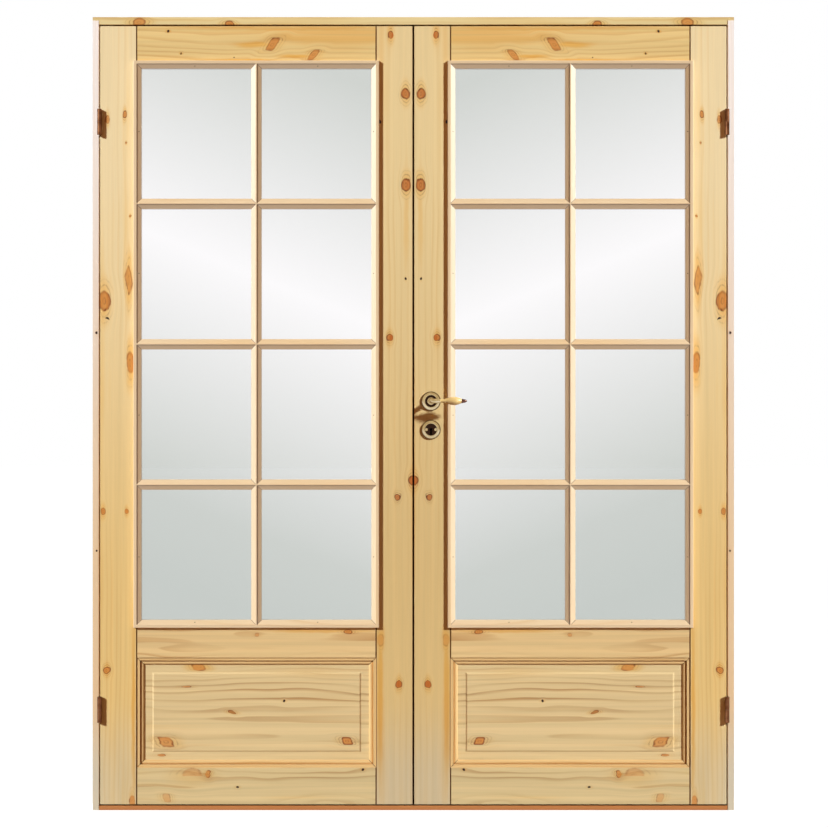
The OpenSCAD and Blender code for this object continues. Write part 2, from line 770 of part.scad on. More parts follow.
// Meeting edges: a seal strip near the front of the right leaf and one near the back of the left
// leaf, and the lock's strike in the left leaf
module along_meeting_edge(y) {
  translate([0, y, 0]) rotate([0, 0, -90]) linear_extrude(leaf_h) children();
}
module meeting_kerf(y) along_meeting_edge(y) kerf_section();
module edge_seal(y, clear) {
  tip_y = clear - meeting_gap;
  color(RUBBER) along_meeting_edge(y) polygon([
    [-kerf_w / 2, kerf_d], [-kerf_w / 2, 0], [seal_taper - kerf_w / 2, tip_y],
    [kerf_w / 2 - seal_taper, tip_y], [kerf_w / 2, 0], [kerf_w / 2, kerf_d]
  ]);
}
module meeting_seal() lock_edge() edge_seal(-meeting_seal_y, front_seal_clear);
module back_meeting_seal() strike_edge() edge_seal(meeting_seal_y, back_seal_clear);
module strike_outline() translate([0, 0, strike_mid]) edge_plate(face_t, face_w, strike_len);
module bolt_pocket(mid, h) {
  room = bolt_fit + strike_room;
  box([2 * strike_pocket, bolt_t + 2 * room, h + 2 * room], [0, 0, mid]);
}
module lock_strike_plate() {
  color(STEEL) strike_edge() difference() {
    strike_outline();
    bolt_pocket(latch_mid, latch_h);
    bolt_pocket(dead_mid, dead_h);
  }
}

// Lock: a thin case in the right meeting stile, with its bolts and follower
module bolt_way(mid, h) {
  reach = face_t + case_wall + over;
  box([2 * reach, bolt_t + 2 * bolt_fit, h + 2 * bolt_fit], [0, 0, mid]);
}
module keyhole(len) {
  rotate([90, 0, 0]) linear_extrude(len, center = true) {
    circle(key_r);
    translate([-key_slot[0] / 2, -key_slot[1]]) square(key_slot);
  }
}
module lock_case() {
  inside = [case_d - 2 * case_wall, case_t - 2 * case_wall, case_h - 2 * case_wall];
  ward_h = case_below + key_r + ward_over;
  color(STEEL) {
    difference() {
      lock_edge() difference() {
        box([case_d, case_t, case_h], [face_t + case_d / 2, 0, case_mid]);
        box(inside, [face_t + case_d / 2, 0, case_mid]);
        bolt_way(latch_mid, latch_h);
        bolt_way(dead_mid, dead_h);
      }
      lever_axis() cross_rod(follower_d / 2 + bolt_fit, through);
      key_axis() keyhole(through);
    }
    lock_edge() box(
      [case_d, ward_t, ward_h],
      [face_t + case_d / 2, 0, key_z - case_below + ward_h / 2]
    );
  }
}
module lock_faceplate() {
  color(STEEL) lock_edge() difference() {
    translate([0, 0, case_mid]) edge_plate(face_t, face_w, face_len);
    bolt_way(latch_mid, latch_h);
    bolt_way(dead_mid, dead_h);
  }
}
module latch_bolt() {
  half = bolt_t / 2;
  color(STEEL) lock_edge() difference() {
    translate([0, 0, latch_z]) linear_extrude(latch_h) polygon([
      [-latch_out, -half], [latch_tail, -half], [latch_tail, half], [0, half],
      [-latch_out, latch_flat - half]
    ]);
    translate([backset + arm_w / 2 + bolt_fit, -bolt_t, latch_z - over])
      mirror([1, 0, 0]) cube([latch_out + arm_w + over, 2 * bolt_t, arm_notch_h + over]);
  }
}
module dead_bolt() {
  tail = backset + key_talon + dead_past;
  color(STEEL) lock_edge() difference() {
    union() {
      box([dead_len, bolt_t, dead_h], [bolt_fit + dead_len / 2, 0, dead_mid]);
      box([tail - dead_len, bolt_t, dead_tail_h], [(tail + dead_len) / 2, 0, dead_mid]);
    }
    box([key_talon, 2 * bolt_t, dead_tail_h], [backset, 0, dead_mid - dead_tail_h / 2 - talon_cover]);
  }
}
module lock_follower() {
  color(STEEL) lever_axis() difference() {
    union() {
      cross_rod(follower_d / 2, case_t);
      translate([0, 0, arm_r / 2]) cube([arm_w, arm_t, arm_r], center = true);
      translate([0, 0, arm_r]) cross_rod(arm_w / 2, arm_t);
    }
    cube([spindle_s, through, spindle_s], center = true);
  }
}
module spindle() color(STEEL) lever_axis() cube([spindle_s, spindle_len, spindle_s], center = true);

// Handle furniture, made for the front and mirrored to the back
module rose_section(hole_r) {
  ring_r = rose_flat_d / 2;
  rim_r = rose_d / 2;
  polygon(concat(
    [[hole_r, 0], [rim_r, 0]],
    [for (a = [0 : arc_step : 90])
      [ring_r + (rim_r - ring_r) * cos(a), rose_rim + (rose_t - rose_rim) * sin(a)]],
    [
      [ring_r - ring_w, rose_t], [ring_r - ring_w - rose_dish, rose_t - rose_dish],
      [hole_r, rose_t - rose_dish]
    ]
  ));
}
module rose_disc(hole_r) {
  translate([0, front_y, 0]) rotate([90, 0, 0]) rotate_extrude() rose_section(hole_r);
}
module rose() color(NICKEL) rose_disc(shank_d / 2 + shank_fit);
module escutcheon_screw_pair() {
  floor_y = front_y - rose_t + rose_dish;
  for (s = [-1, 1]) translate([s * escutcheon_screw_x, floor_y, 0]) rotate([-90, 0, 0]) {
    cylinder(d1 = screw_head_d, d2 = screw_d, h = plate_t);
    translate([0, 0, plate_t]) cylinder(d = screw_d, h = rose_t + escutcheon_screw_bite);
  }
}
module key_escutcheon() {
  color(NICKEL) difference() {
    rose_disc(0);
    keyhole(through);
    escutcheon_screw_pair();
  }
}
module front_rose() lever_axis() rose();
module back_rose() lever_axis() to_back() rose();
module front_key_escutcheon() key_axis() key_escutcheon();
module back_key_escutcheon() key_axis() to_back() key_escutcheon();
module escutcheon_screws() color(NICKEL) key_axis() both_faces() escutcheon_screw_pair();

module lever() {
  straight = grip_out - bend_r;
  axis_y = front_y - grip_out;
  color(NICKEL) difference() {
    union() {
      translate([0, front_y - over, 0]) rotate([90, 0, 0])
        cylinder(d1 = shank_d, d2 = neck_d, h = straight - over);
      translate([0, front_y - rose_t - shank_fit, 0]) face_rod(collar_d / 2, collar_t);
      translate([bend_r, front_y - straight, 0]) rotate([0, 0, 180])
        rotate_extrude(angle = 90) translate([bend_r, 0]) circle(d = neck_d);
      translate([bend_r, axis_y, 0]) rotate([0, 90, 0])
        cylinder(d1 = neck_d, d2 = grip_neck_d, h = grip_start - bend_r);
      translate([grip_start - ring_w, axis_y, 0]) rotate([0, 90, 0])
        cylinder(d = grip_neck_d + ring_w, h = ring_w);
    }
    cube([spindle_s, spindle_len, spindle_s], center = true);
  }
}
module on_grip_axis(x) translate([x, front_y - grip_out, 0]) rotate([0, 90, 0]) children();
module grip() {
  neck = grip_neck_d / 2;
  belly = grip_d / 2;
  end = grip_end_d / 2;
  long = [for (t = [0 : 0.125 : 1]) [neck + (belly - neck) * (1 - cos(180 * t)) / 2, grip_swell * t]];
  short = [for (t = [0.2 : 0.2 : 1])
    [end + (belly - end) * cos(90 * t), grip_swell + (grip_len - grip_swell) * t]];
  color(CREAM) on_grip_axis(grip_start) rotate_extrude()
    polygon(concat([[0, 0]], long, short, [[0, grip_len]]));
}
module tip() {
  end = grip_end_d / 2;
  ball = tip_len - ring_w;
  color(NICKEL) on_grip_axis(grip_start + grip_len) rotate_extrude()
    polygon(concat(
      [[0, 0], [end + tip_bead, 0], [end + tip_bead, ring_w]],
      [for (t = [0 : 0.125 : 1]) [end * cos(90 * t), ring_w + ball * sin(90 * t)]]
    ));
}
module front_lever() lever_axis() lever();
module back_lever() lever_axis() to_back() lever();
module front_grip() lever_axis() grip();
module back_grip() lever_axis() to_back() grip();
module front_tip() lever_axis() tip();
module back_tip() lever_axis() to_back() tip();

// Flush bolts, from the leaf's end at z = 0 and its meeting edge at x = 0
module bolt_body(wall) {
  deep = bolt_case_d - bolt_face_t - wall;
  box([deep, bolt_case_w - 2 * wall, bolt_case_len - 2 * wall], [bolt_face_t + deep / 2, 0, bolt_mid]);
}
module bolt_face() translate([0, 0, bolt_mid]) edge_plate(bolt_face_t, bolt_face_w, bolt_face_len);
module rod_way(room, len) translate([rod_x, 0, -over]) cylinder(d = rod_d + 2 * room, h = len + over);
module bolt_mortise() {
  bolt_face();
  bolt_body(0);
  rod_way(rod_fit, bolt_mid);
}
module bolt_case() {
  slot = stud_d + 2 * rod_fit;
  color(BRASS) difference() {
    union() {
      bolt_face();
      bolt_body(0);
    }
    bolt_body(bolt_wall);
    rod_way(rod_fit, bolt_mid);
    translate([-over, 0, bolt_mid - rod_travel / 2])
      edge_plate(bolt_face_t + 2 * over, slot, rod_travel + slot);
  }
}
module flush_bolt() {
  color(BRASS) {
    translate([rod_x, 0, rod_sink]) cylinder(d = rod_d, h = bolt_mid - rod_sink);
    box(carriage, [rod_x, 0, bolt_mid]);
    translate([stud_sink, 0, bolt_mid]) rotate([0, 90, 0]) cylinder(d = stud_d, h = rod_x - stud_sink);
  }
}
module bottom_bolt_case() strike_edge() bolt_case();
module top_bolt_case() strike_edge() at_leaf_top() bolt_case();
module bottom_flush_bolt() strike_edge() flush_bolt();
module top_flush_bolt() strike_edge() at_leaf_top() flush_bolt();

left_jamb();
right_jamb();
head();
threshold();
frame_seal();
frame_hinge_halves();
hinge_pins();
frame_hinge_screws();
head_bolt_strike();
threshold_bolt_socket();
left_hinge_stile();
left_meeting_stile();
left_top_rail();
left_mid_rail();
left_bottom_rail();
left_dowels();
left_panel();
left_panel_mouldings();
left_glass();
left_front_lattice();
left_back_lattice();
left_hinge_halves();
left_hinge_screws();
lock_strike_plate();
back_meeting_seal();
top_bolt_case();
bottom_bolt_case();
top_flush_bolt();
bottom_flush_bolt();
right_hinge_stile();
right_meeting_stile();
right_top_rail();
right_mid_rail();
right_bottom_rail();
right_dowels();
right_panel();
right_panel_mouldings();
right_glass();
right_front_lattice();
right_back_lattice();
right_hinge_halves();
right_hinge_screws();
meeting_seal();
lock_case();
lock_faceplate();
latch_bolt();
dead_bolt();
lock_follower();
spindle();
front_rose();
back_rose();
front_key_escutcheon();
back_key_escutcheon();
escutcheon_screws();
front_lever();
back_lever();
front_grip();
back_grip();
front_tip();
back_tip();
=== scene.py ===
"""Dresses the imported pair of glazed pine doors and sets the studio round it.

Every CAD node keeps its shape and gets a procedural finish. The small heads of the glazing brads are
the only pieces that are added. Lengths are in metres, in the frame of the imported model.
"""

import json
import logging
import math
from collections.abc import Iterable, Mapping, Sequence
from dataclasses import dataclass
from enum import Enum
from typing import Any, ClassVar

import bmesh
import bpy
from mathutils import Matrix, Vector

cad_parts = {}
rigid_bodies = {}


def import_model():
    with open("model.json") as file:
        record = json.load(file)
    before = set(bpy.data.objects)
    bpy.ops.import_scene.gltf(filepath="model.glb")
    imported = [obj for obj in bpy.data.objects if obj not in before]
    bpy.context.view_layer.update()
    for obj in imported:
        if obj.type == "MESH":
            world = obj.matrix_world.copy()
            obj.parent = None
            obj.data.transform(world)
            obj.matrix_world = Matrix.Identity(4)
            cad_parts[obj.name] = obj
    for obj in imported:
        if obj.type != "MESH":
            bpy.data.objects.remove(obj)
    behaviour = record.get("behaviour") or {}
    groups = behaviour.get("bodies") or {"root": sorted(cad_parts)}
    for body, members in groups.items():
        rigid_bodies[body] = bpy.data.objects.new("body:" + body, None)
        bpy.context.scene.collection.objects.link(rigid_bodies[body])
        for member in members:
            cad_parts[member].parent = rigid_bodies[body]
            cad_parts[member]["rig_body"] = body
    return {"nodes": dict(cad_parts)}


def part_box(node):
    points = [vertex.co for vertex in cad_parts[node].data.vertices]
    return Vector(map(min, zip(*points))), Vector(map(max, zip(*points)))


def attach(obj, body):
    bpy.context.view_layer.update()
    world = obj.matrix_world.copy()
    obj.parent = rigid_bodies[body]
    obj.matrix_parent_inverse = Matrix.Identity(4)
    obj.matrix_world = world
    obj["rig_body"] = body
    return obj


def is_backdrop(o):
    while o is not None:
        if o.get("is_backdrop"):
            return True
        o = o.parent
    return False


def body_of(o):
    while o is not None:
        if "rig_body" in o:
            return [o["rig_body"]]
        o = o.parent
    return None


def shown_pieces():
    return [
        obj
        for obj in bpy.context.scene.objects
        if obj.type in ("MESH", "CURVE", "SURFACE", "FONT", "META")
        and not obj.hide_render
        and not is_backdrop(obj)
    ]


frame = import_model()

LOG = logging.getLogger("double_doors")
MM = 0.001
Colour = tuple[float, float, float]
Socket = bpy.types.NodeSocket


def srgb(red: int, green: int, blue: int) -> Colour:
    """Turns a colour as it is seen on screen into a linear one.

    Args:
        red: red from 0 to 255.
        green: green from 0 to 255.
        blue: blue from 0 to 255.

    Returns:
        The linear colour, from 0 to 1.
    """
    def linear(level: int) -> float:
        """Gives one channel as linear light."""
        share = level / 255
        return share / 12.92 if share <= 0.04045 else ((share + 0.055) / 1.055) ** 2.4

    return linear(red), linear(green), linear(blue)


def opaque(colour: Colour) -> tuple[float, float, float, float]:
    """Gives a colour the alpha of 1 that Blender's colour sockets ask for."""
    return (*colour, 1.0)


class Graph:
    """Adds nodes and links to one shader node tree."""

    def __init__(self, tree: bpy.types.NodeTree) -> None:
        """Keeps the tree that the nodes go into."""
        self.tree = tree

    def feed(self, socket: Socket, value: Any) -> None:
        """Links a socket to another one, or sets its value.

        Args:
            socket: the input to feed.
            value: an output socket, a number, a colour or a vector.
        """
        if isinstance(value, Socket):
            self.tree.links.new(value, socket)
        elif isinstance(value, tuple) and socket.type == "RGBA" and len(value) == 3:
            socket.default_value = opaque(value)
        else:
            socket.default_value = value

    def add(self, kind: str, feeds: Mapping[str | int, Any] | None = None, **settings: Any) -> bpy.types.Node:
        """Adds a node.

        Args:
            kind: Blender's type name of the node.
            feeds: what goes into each input, by the input's name or number.
            **settings: the node's own properties.

        Returns:
            The new node.
        """
        node = self.tree.nodes.new(kind)
        for name, value in settings.items():
            setattr(node, name, value)
        for key, value in (feeds or {}).items():
            self.feed(node.inputs[key], value)
        return node

    def group(self, tree: bpy.types.NodeTree, feeds: Mapping[str, Any]) -> bpy.types.Node:
        """Places a node group and feeds its inputs by name."""
        return self.add("ShaderNodeGroup", feeds, node_tree=tree)

    def math(self, operation: str, *feeds: Any) -> Socket:
        """Adds a Math node and gives its result."""
        return self.add("ShaderNodeMath", dict(enumerate(feeds)), operation=operation).outputs[0]

    def total(self, *feeds: Any) -> Socket:
        """Adds any number of values up."""
        result = feeds[0]
        for value in feeds[1:]:
            result = self.math("ADD", result, value)
        return result

    def ease(self, value: Any, start: Any, end: float, low: float = 0.0, high: float = 1.0) -> Socket:
        """Maps a value smoothly from one range to another.

        Args:
            value: the value to map.
            start: where the change starts.
            end: where the change ends.
            low: the result at the start.
            high: the result at the end.

        Returns:
            The mapped value.
        """
        feeds = {"Value": value, "From Min": start, "From Max": end, "To Min": low, "To Max": high}
        return self.add("ShaderNodeMapRange", feeds, interpolation_type="SMOOTHSTEP").outputs["Result"]

    def blend(self, share: Any, first: Any, second: Any, how: str = "MIX") -> Socket:
        """Mixes two colours.

        Args:
            share: how much of the second colour, from 0 to 1.
            first: the first colour.
            second: the second colour.
            how: Blender's name for the way of mixing.

        Returns:
            The mixed colour.
        """
        node = self.add("ShaderNodeMix", {0: share, 6: first, 7: second}, data_type="RGBA", blend_type=how)
        return node.outputs[2]

    def vector(self, x: Any, y: Any, z: Any) -> Socket:
        """Joins three values into a vector."""
        return self.add("ShaderNodeCombineXYZ", {"X": x, "Y": y, "Z": z}).outputs[0]

    def axes(self, place: str = "Object") -> Mapping[str, Socket]:
        """Gives the X, Y and Z of one kind of texture coordinate."""
        return self.add("ShaderNodeSeparateXYZ", {0: self.add("ShaderNodeTexCoord").outputs[place]}).outputs

    def noise(self, place: Socket, scale: float = 1.0, detail: float = 2.0, rough: float = 0.5) -> Socket:
        """Adds soft noise from 0 to 1.

        Args:
            place: where the noise is read.
            scale: its fineness.
            detail: how many finer layers it has.
            rough: how strong the finer layers are.

        Returns:
            The noise value.
        """
        feeds = {"Vector": place, "Scale": scale, "Detail": detail, "Roughness": rough}
        return self.add("ShaderNodeTexNoise", feeds).outputs[0]


class SocketKind(Enum):
    """Kinds of socket that a node group's interface has."""

    VALUE = "NodeSocketFloat"
    COLOUR = "NodeSocketColor"


class GroupMaker:
    """Opens a shader node group with named inputs and outputs."""

    def __init__(self, name: str, inputs: Mapping[str, float | Colour], outputs: Mapping[str, SocketKind]) -> None:
        """Makes the group's interface.

        Args:
            name: the group's name.
            inputs: each input's name and default; a colour default makes a colour socket.
            outputs: each output's name and kind.
        """
        self.tree = bpy.data.node_groups.new(name, "ShaderNodeTree")
        self.graph = Graph(self.tree)
        for label, default in inputs.items():
            kind = SocketKind.COLOUR if isinstance(default, tuple) else SocketKind.VALUE
            socket = self.tree.interface.new_socket(label, in_out="INPUT", socket_type=kind.value)
            socket.default_value = opaque(default) if isinstance(default, tuple) else default
        for label, kind in outputs.items():
            self.tree.interface.new_socket(label, in_out="OUTPUT", socket_type=kind.value)
        self.entry = self.tree.nodes.new("NodeGroupInput").outputs
        self.exit = self.tree.nodes.new("NodeGroupOutput")

    def close(self, results: Mapping[str, Any]) -> bpy.types.NodeTree:
        """Feeds the group's outputs.

        Args:
            results: what goes to each output.

        Returns:
            The finished group.
        """
        for label, value in results.items():
            self.graph.feed(self.exit.inputs[label], value)
        return self.tree


class GrainRun(Enum):
    """Which way the grain of a board runs."""

    UPRIGHT = 0.0
    LEVEL = 1.0


@dataclass(frozen=True)
class Knot:
    """One knot or streak, by its distance from the doors' middle line and its height, in millimetres.

    The depth is how strong its brown core is, the glow how strong the resin round it is, and the pin how
    black its middle is. A streak is a glow without a core. The slant leans a spike knot along the grain, the
    corner squares its outline off, the cut hides the part below that share of its half width, and the ring is
    how whole its rim is.
    """

    out: float
    up: float
    half_w: float
    half_h: float
    depth: float = 1.0
    glow: float = 0.8
    pin: float = 0.0
    slant: float = 0.0
    corner: float = 2.0
    cut: float = -9.0
    ring: float = 0.0


@dataclass(frozen=True)
class Mitre:
    """Where the upright and level lengths of a mitred frame or lattice run, in metres."""

    start_out: float
    pitch_out: float
    end_out: float
    start_up: float
    pitch_up: float
    end_up: float
    # Strength of the painted shade in the quirks on the sides turned from the light.
    quirk: float = 0.0


@dataclass(frozen=True)
class PineFinish:
    """Lacquered pine: its colours, and how its rings and streaks run."""

    early: Colour = srgb(238, 214, 164)
    late: Colour = srgb(222, 184, 122)
    heart: Colour = srgb(233, 190, 128)
    knot: Colour = srgb(204, 122, 48)
    rim: Colour = srgb(118, 48, 12)
    # Painted shade: below the height that follows, the wood is multiplied by this colour, darker towards the bottom.
    foot_shade: Colour = (1.0, 1.0, 1.0)
    foot_shade_top: float = 1.8
    # Painted light: a cool bounce from the floor, multiplied in near the floor.
    toe_bounce_light: Colour = (1.0, 1.0, 1.0)
    pitch: float = 0.011
    heart_out: float = 0.35
    heart_deep: float = 0.10
    wander: float = 0.05
    line: float = 0.75
    streak: float = 0.16
    seed: float = 0.0
    roughness: float = 0.42
    shine: float = 0.35
    coat: float = 0.0
    coat_rough: float = 0.32
    # How strongly the dark joints and their painted shade show.
    seam: float = 0.0

    def inputs(self) -> dict[str, float | Colour]:
        """Gives the finish as the inputs of the figure group."""
        return {
            "Early Colour": self.early, "Late Colour": self.late, "Heart Colour": self.heart,
            "Knot Colour": self.knot, "Rim Colour": self.rim, "Foot Painted Shade": self.foot_shade, "Pitch": self.pitch,
            "Foot Shade Top": self.foot_shade_top, "Toe Painted Bounce": self.toe_bounce_light, "Heart Out": self.heart_out,
            "Heart Deep": self.heart_deep, "Wander": self.wander, "Line": self.line, "Streak": self.streak,
            "Seed": self.seed, "Gloss": self.roughness,
        }


@dataclass(frozen=True)
class MetalFinish:
    """A metal, plain and worn, with how rough each is."""

    plain: Colour
    worn: Colour
    smooth: float
    rough: float
    brush: float = 60.0


class PineShop:
    """Holds the node groups that the woods share, and makes the wood materials from them."""

    RESIN: ClassVar[Colour] = srgb(250, 218, 148)
    PIN_BLACK: ClassVar[Colour] = srgb(44, 14, 0)
    # Colour that darkens the joints, and the painted shade in their chamfers and in the lattice quirks.
    JOINT_AND_PAINTED_SHADE: ClassVar[Colour] = srgb(122, 92, 60)
    PLACE: ClassVar[dict[str, SocketKind]] = dict.fromkeys(
        ("Along", "Across", "Depth", "Up", "Seam", "Shaken Along", "Shaken Across"), SocketKind.VALUE
    )

    def __init__(self) -> None:
        """Builds the groups once."""
        self.board = self.make_board_place()
        self.mitred = self.make_mitred_place()
        self.knot = self.make_knot()
        self.figure = self.make_figure()

    @staticmethod
    def mirrored_place(graph: Graph) -> tuple[Socket, Socket, Socket]:
        """Reads the place on the object, with left and right taken alike.

        Args:
            graph: the tree that the nodes go into.

        Returns:
            The distance from the middle line, the depth and the height.
        """
        axes = graph.axes()
        return graph.math("ABSOLUTE", axes["X"]), axes["Y"], axes["Z"]

    @classmethod
    def finish_place(
        cls, maker: GroupMaker, level: Socket, seam: Socket, spot: tuple[Socket, Socket, Socket]
    ) -> bpy.types.NodeTree:
        """Turns the place into distances along and across the grain.

        Args:
            maker: the open group.
            level: 1 where the grain runs level and 0 where it is upright.
            seam: 1 in the joint between two lengths and 0 elsewhere; on a lattice it also carries painted shade in the
                quirks.
            spot: distance from the middle line, depth and height.

        Returns:
            The finished group.
        """
        graph = maker.graph
        out, deep, up = spot
        span = graph.math("SUBTRACT", up, out)
        along = graph.math("SUBTRACT", up, graph.math("MULTIPLY", span, level))
        across = graph.math("ADD", out, graph.math("MULTIPLY", span, level))
        drawn = graph.vector(graph.math("MULTIPLY", along, 0.3), across, deep)
        shake = graph.math("MULTIPLY", graph.math("SUBTRACT", graph.noise(drawn, 75.0, 2.0), 0.5), 0.009)
        return maker.close({
            "Along": along, "Across": across, "Depth": deep, "Up": up, "Seam": seam,
            "Shaken Along": graph.math("ADD", along, shake),
            "Shaken Across": graph.math("SUBTRACT", across, shake),
        })

    def make_board_place(self) -> bpy.types.NodeTree:
        """Makes the group that gives the place on a straight board."""
        maker = GroupMaker("board_place", {"Level": 0.0, "Joint In": 0.0, "Joint Out": 0.0}, self.PLACE)
        graph = maker.graph
        spot = self.mirrored_place(graph)
        gaps = [
            graph.math("ABSOLUTE", graph.math("SUBTRACT", spot[0], maker.entry[label]))
            for label in ("Joint In", "Joint Out")
        ]
        # The joint line between stile and rail: a dark joint, partly painted shade in its V-shaped chamfers.
        seam = graph.ease(graph.math("MINIMUM", *gaps), 2.4 * MM, 1.2 * MM)
        return self.finish_place(maker, maker.entry["Level"], seam, spot)

    def make_mitred_place(self) -> bpy.types.NodeTree:
        """Makes the group that gives the place on mitred lengths, each with its own grain, with dark mitre joints and
        painted shade in the quirks.
        """
        labels = ("Start Out", "Pitch Out", "End Out", "Start Up", "Pitch Up", "End Up")
        maker = GroupMaker("mitred_place", {**dict.fromkeys(labels, 0.1), "Quirk Shade": 0.0}, self.PLACE)
        graph = maker.graph
        spot = self.mirrored_place(graph)

        def off_line(place: Socket, way: str) -> Socket:
            """Gives the distance to the nearest length."""
            half = graph.math("MULTIPLY", maker.entry[f"Pitch {way}"], 0.5)
            return graph.math("PINGPONG", graph.math("SUBTRACT", place, maker.entry[f"Start {way}"]), half)

        def within(place: Socket, way: str) -> Socket:
            """Gives 1 between the outermost lengths."""
            past = graph.math("GREATER_THAN", place, maker.entry[f"Start {way}"])
            return graph.math("MULTIPLY", past, graph.math("LESS_THAN", place, maker.entry[f"End {way}"]))

        def far_side(place: Socket, way: str) -> Socket:
            """Gives 1 below a level length or on the inner side of an upright one, the sides turned from the key
            light.
            """
            past = graph.math("SUBTRACT", place, maker.entry[f"Start {way}"])
            turns = graph.math("DIVIDE", past, maker.entry[f"Pitch {way}"])
            return graph.math("GREATER_THAN", graph.math("FRACT", turns), 0.5)

        to_upright, to_level = off_line(spot[0], "Out"), off_line(spot[2], "Up")
        level = graph.math("LESS_THAN", to_level, to_upright)
        apart = graph.math("ABSOLUTE", graph.math("SUBTRACT", to_upright, to_level))
        off = graph.math("MINIMUM", to_upright, to_level)
        mitre = graph.math("MULTIPLY", graph.ease(apart, 1.5 * MM, 0.5 * MM), graph.ease(off, 1.0 * MM, 2.4 * MM))
        below = graph.math("MULTIPLY", far_side(spot[2], "Up"), level)
        beside = graph.math("MULTIPLY", far_side(spot[0], "Out"), graph.math("SUBTRACT", 1.0, level))
        # Painted shade: a dark line in the quirk beside each ridge on the side turned from the light, and the lower
        # slopes of level bars darkened.
        fade = graph.ease(off, 4.4 * MM, 3.0 * MM, 0.0, 0.7)
        quirk_shade_line = graph.math("MULTIPLY", graph.ease(off, 1.0 * MM, 1.7 * MM), fade)
        shaded = graph.math("MULTIPLY", quirk_shade_line, graph.math("ADD", below, beside))
        shaded = graph.math("MAXIMUM", shaded, graph.math("MULTIPLY", below, 0.3))
        # Dark mitre joints, together with the painted quirk shade.
        seam = graph.math("MAXIMUM", mitre, graph.math("MULTIPLY", shaded, maker.entry["Quirk Shade"]))
        inside = graph.math("MULTIPLY", within(spot[0], "Out"), within(spot[2], "Up"))
        return self.finish_place(maker, level, graph.math("MULTIPLY", seam, inside), spot)

    def make_knot(self) -> bpy.types.NodeTree:
        """Makes the group that adds one knot and bends the grain round it."""
        chain = ("Flow", "Core", "Rim", "Halo", "Black")
        numbers = ("Along", "Across", *chain, "Centre Along", "Centre Across", "Pin", "Slant")
        inputs = {
            **dict.fromkeys(numbers, 0.0), "Half Along": 0.01, "Half Across": 0.01, "Depth": 1.0, "Glow": 1.0,
            "Corner": 2.0, "Cut": -9.0, "Ring": 0.0,
        }
        maker = GroupMaker("pine_knot", inputs, dict.fromkeys(chain, SocketKind.VALUE))
        graph, entry = maker.graph, maker.entry
        off_across = graph.math("SUBTRACT", entry["Across"], entry["Centre Across"])
        dv = graph.math("DIVIDE", off_across, entry["Half Across"])
        off_along = graph.math("SUBTRACT", entry["Along"], entry["Centre Along"])
        straight = graph.math("DIVIDE", off_along, entry["Half Along"])
        du = graph.math("SUBTRACT", straight, graph.math("MULTIPLY", dv, entry["Slant"]))

        def reach(stretch: float, widen: float) -> Socket:
            """Gives the distance from the knot, in knots, stretched along and across the grain."""
            sides = [
                graph.math("POWER", graph.math("ABSOLUTE", graph.math("MULTIPLY", side, 1 / by)), entry["Corner"])
                for side, by in ((du, stretch), (dv, widen))
            ]
            return graph.math("POWER", graph.math("ADD", *sides), graph.math("DIVIDE", 1.0, entry["Corner"]))

        near, round_it = reach(1.0, 1.0), reach(1.7, 1.12)
        kept = graph.ease(graph.math("SUBTRACT", dv, entry["Cut"]), -0.06, 0.06)
        depth = graph.math("MULTIPLY", entry["Depth"], kept)
        core = graph.math("MULTIPLY", graph.ease(near, 1.10, 0.90), depth)
        edge = graph.math("MULTIPLY", graph.ease(near, 0.66, 0.94), graph.ease(near, 1.16, 1.0))
        turns = graph.ease(graph.math("PINGPONG", graph.math("MULTIPLY", round_it, 2.6), 0.5), 0.25, 0.48)
        rings = graph.math("MULTIPLY", turns, graph.ease(round_it, 1.75, 0.8, 0.0, 0.5))
        black = graph.math("MULTIPLY", graph.ease(near, 1.15, 0.75), entry["Pin"])
        halo = graph.math("MULTIPLY", graph.ease(reach(3.0, 1.4), 1.2, 0.25), entry["Glow"])
        bend = graph.math("MULTIPLY", graph.math("MAXIMUM", entry["Depth"], entry["Pin"]), 0.72)
        pull = graph.math("MULTIPLY", graph.ease(reach(3.4, 2.6), 1.3, 0.1), bend)
        patch = graph.noise(graph.vector(entry["Along"], entry["Across"], 0.0), 48.0, 1.0)
        unbroken = graph.math("MAXIMUM", graph.ease(patch, 0.40, 0.60, 0.2, 1.0), entry["Ring"])
        whole = graph.math("MULTIPLY", depth, unbroken)
        rim = graph.math("MULTIPLY", graph.math("MAXIMUM", edge, rings), whole)
        return maker.close({
            "Flow": graph.math("SUBTRACT", entry["Flow"], graph.math("MULTIPLY", pull, off_across)),
            "Core": graph.math("MAXIMUM", entry["Core"], core),
            "Rim": graph.math("MAXIMUM", entry["Rim"], rim),
            "Halo": graph.math("MAXIMUM", entry["Halo"], halo),
            "Black": graph.math("MAXIMUM", entry["Black"], black),
        })

    def make_figure(self) -> bpy.types.NodeTree:
        """Makes the group that gives pine its rings, streaks, fibres, knots and dark joints, with painted shade
        towards the bottom, painted bounce light near the floor and painted shade in joint chamfers and quirks.
        """
        places = ("Along", "Flow", "Depth", "Up", "Core", "Rim", "Halo", "Black", "Seam")
        inputs = {**dict.fromkeys(places, 0.0), **PineFinish().inputs()}
        outputs = {"Color": SocketKind.COLOUR, "Roughness": SocketKind.VALUE, "Height": SocketKind.VALUE}
        maker = GroupMaker("pine_figure", inputs, outputs)
        graph, entry = maker.graph, maker.entry

        def stretched(along: float, across: float, shift: float, detail: float) -> Socket:
            """Gives noise drawn out along the grain, from -0.5 to 0.5."""
            place = graph.vector(
                graph.math("MULTIPLY_ADD", entry["Along"], along, entry["Seed"]),
                graph.math("MULTIPLY_ADD", entry["Flow"], across, shift),
                graph.math("MULTIPLY", entry["Depth"], across),
            )
            return graph.math("SUBTRACT", graph.noise(place, 1.0, detail), 0.5)

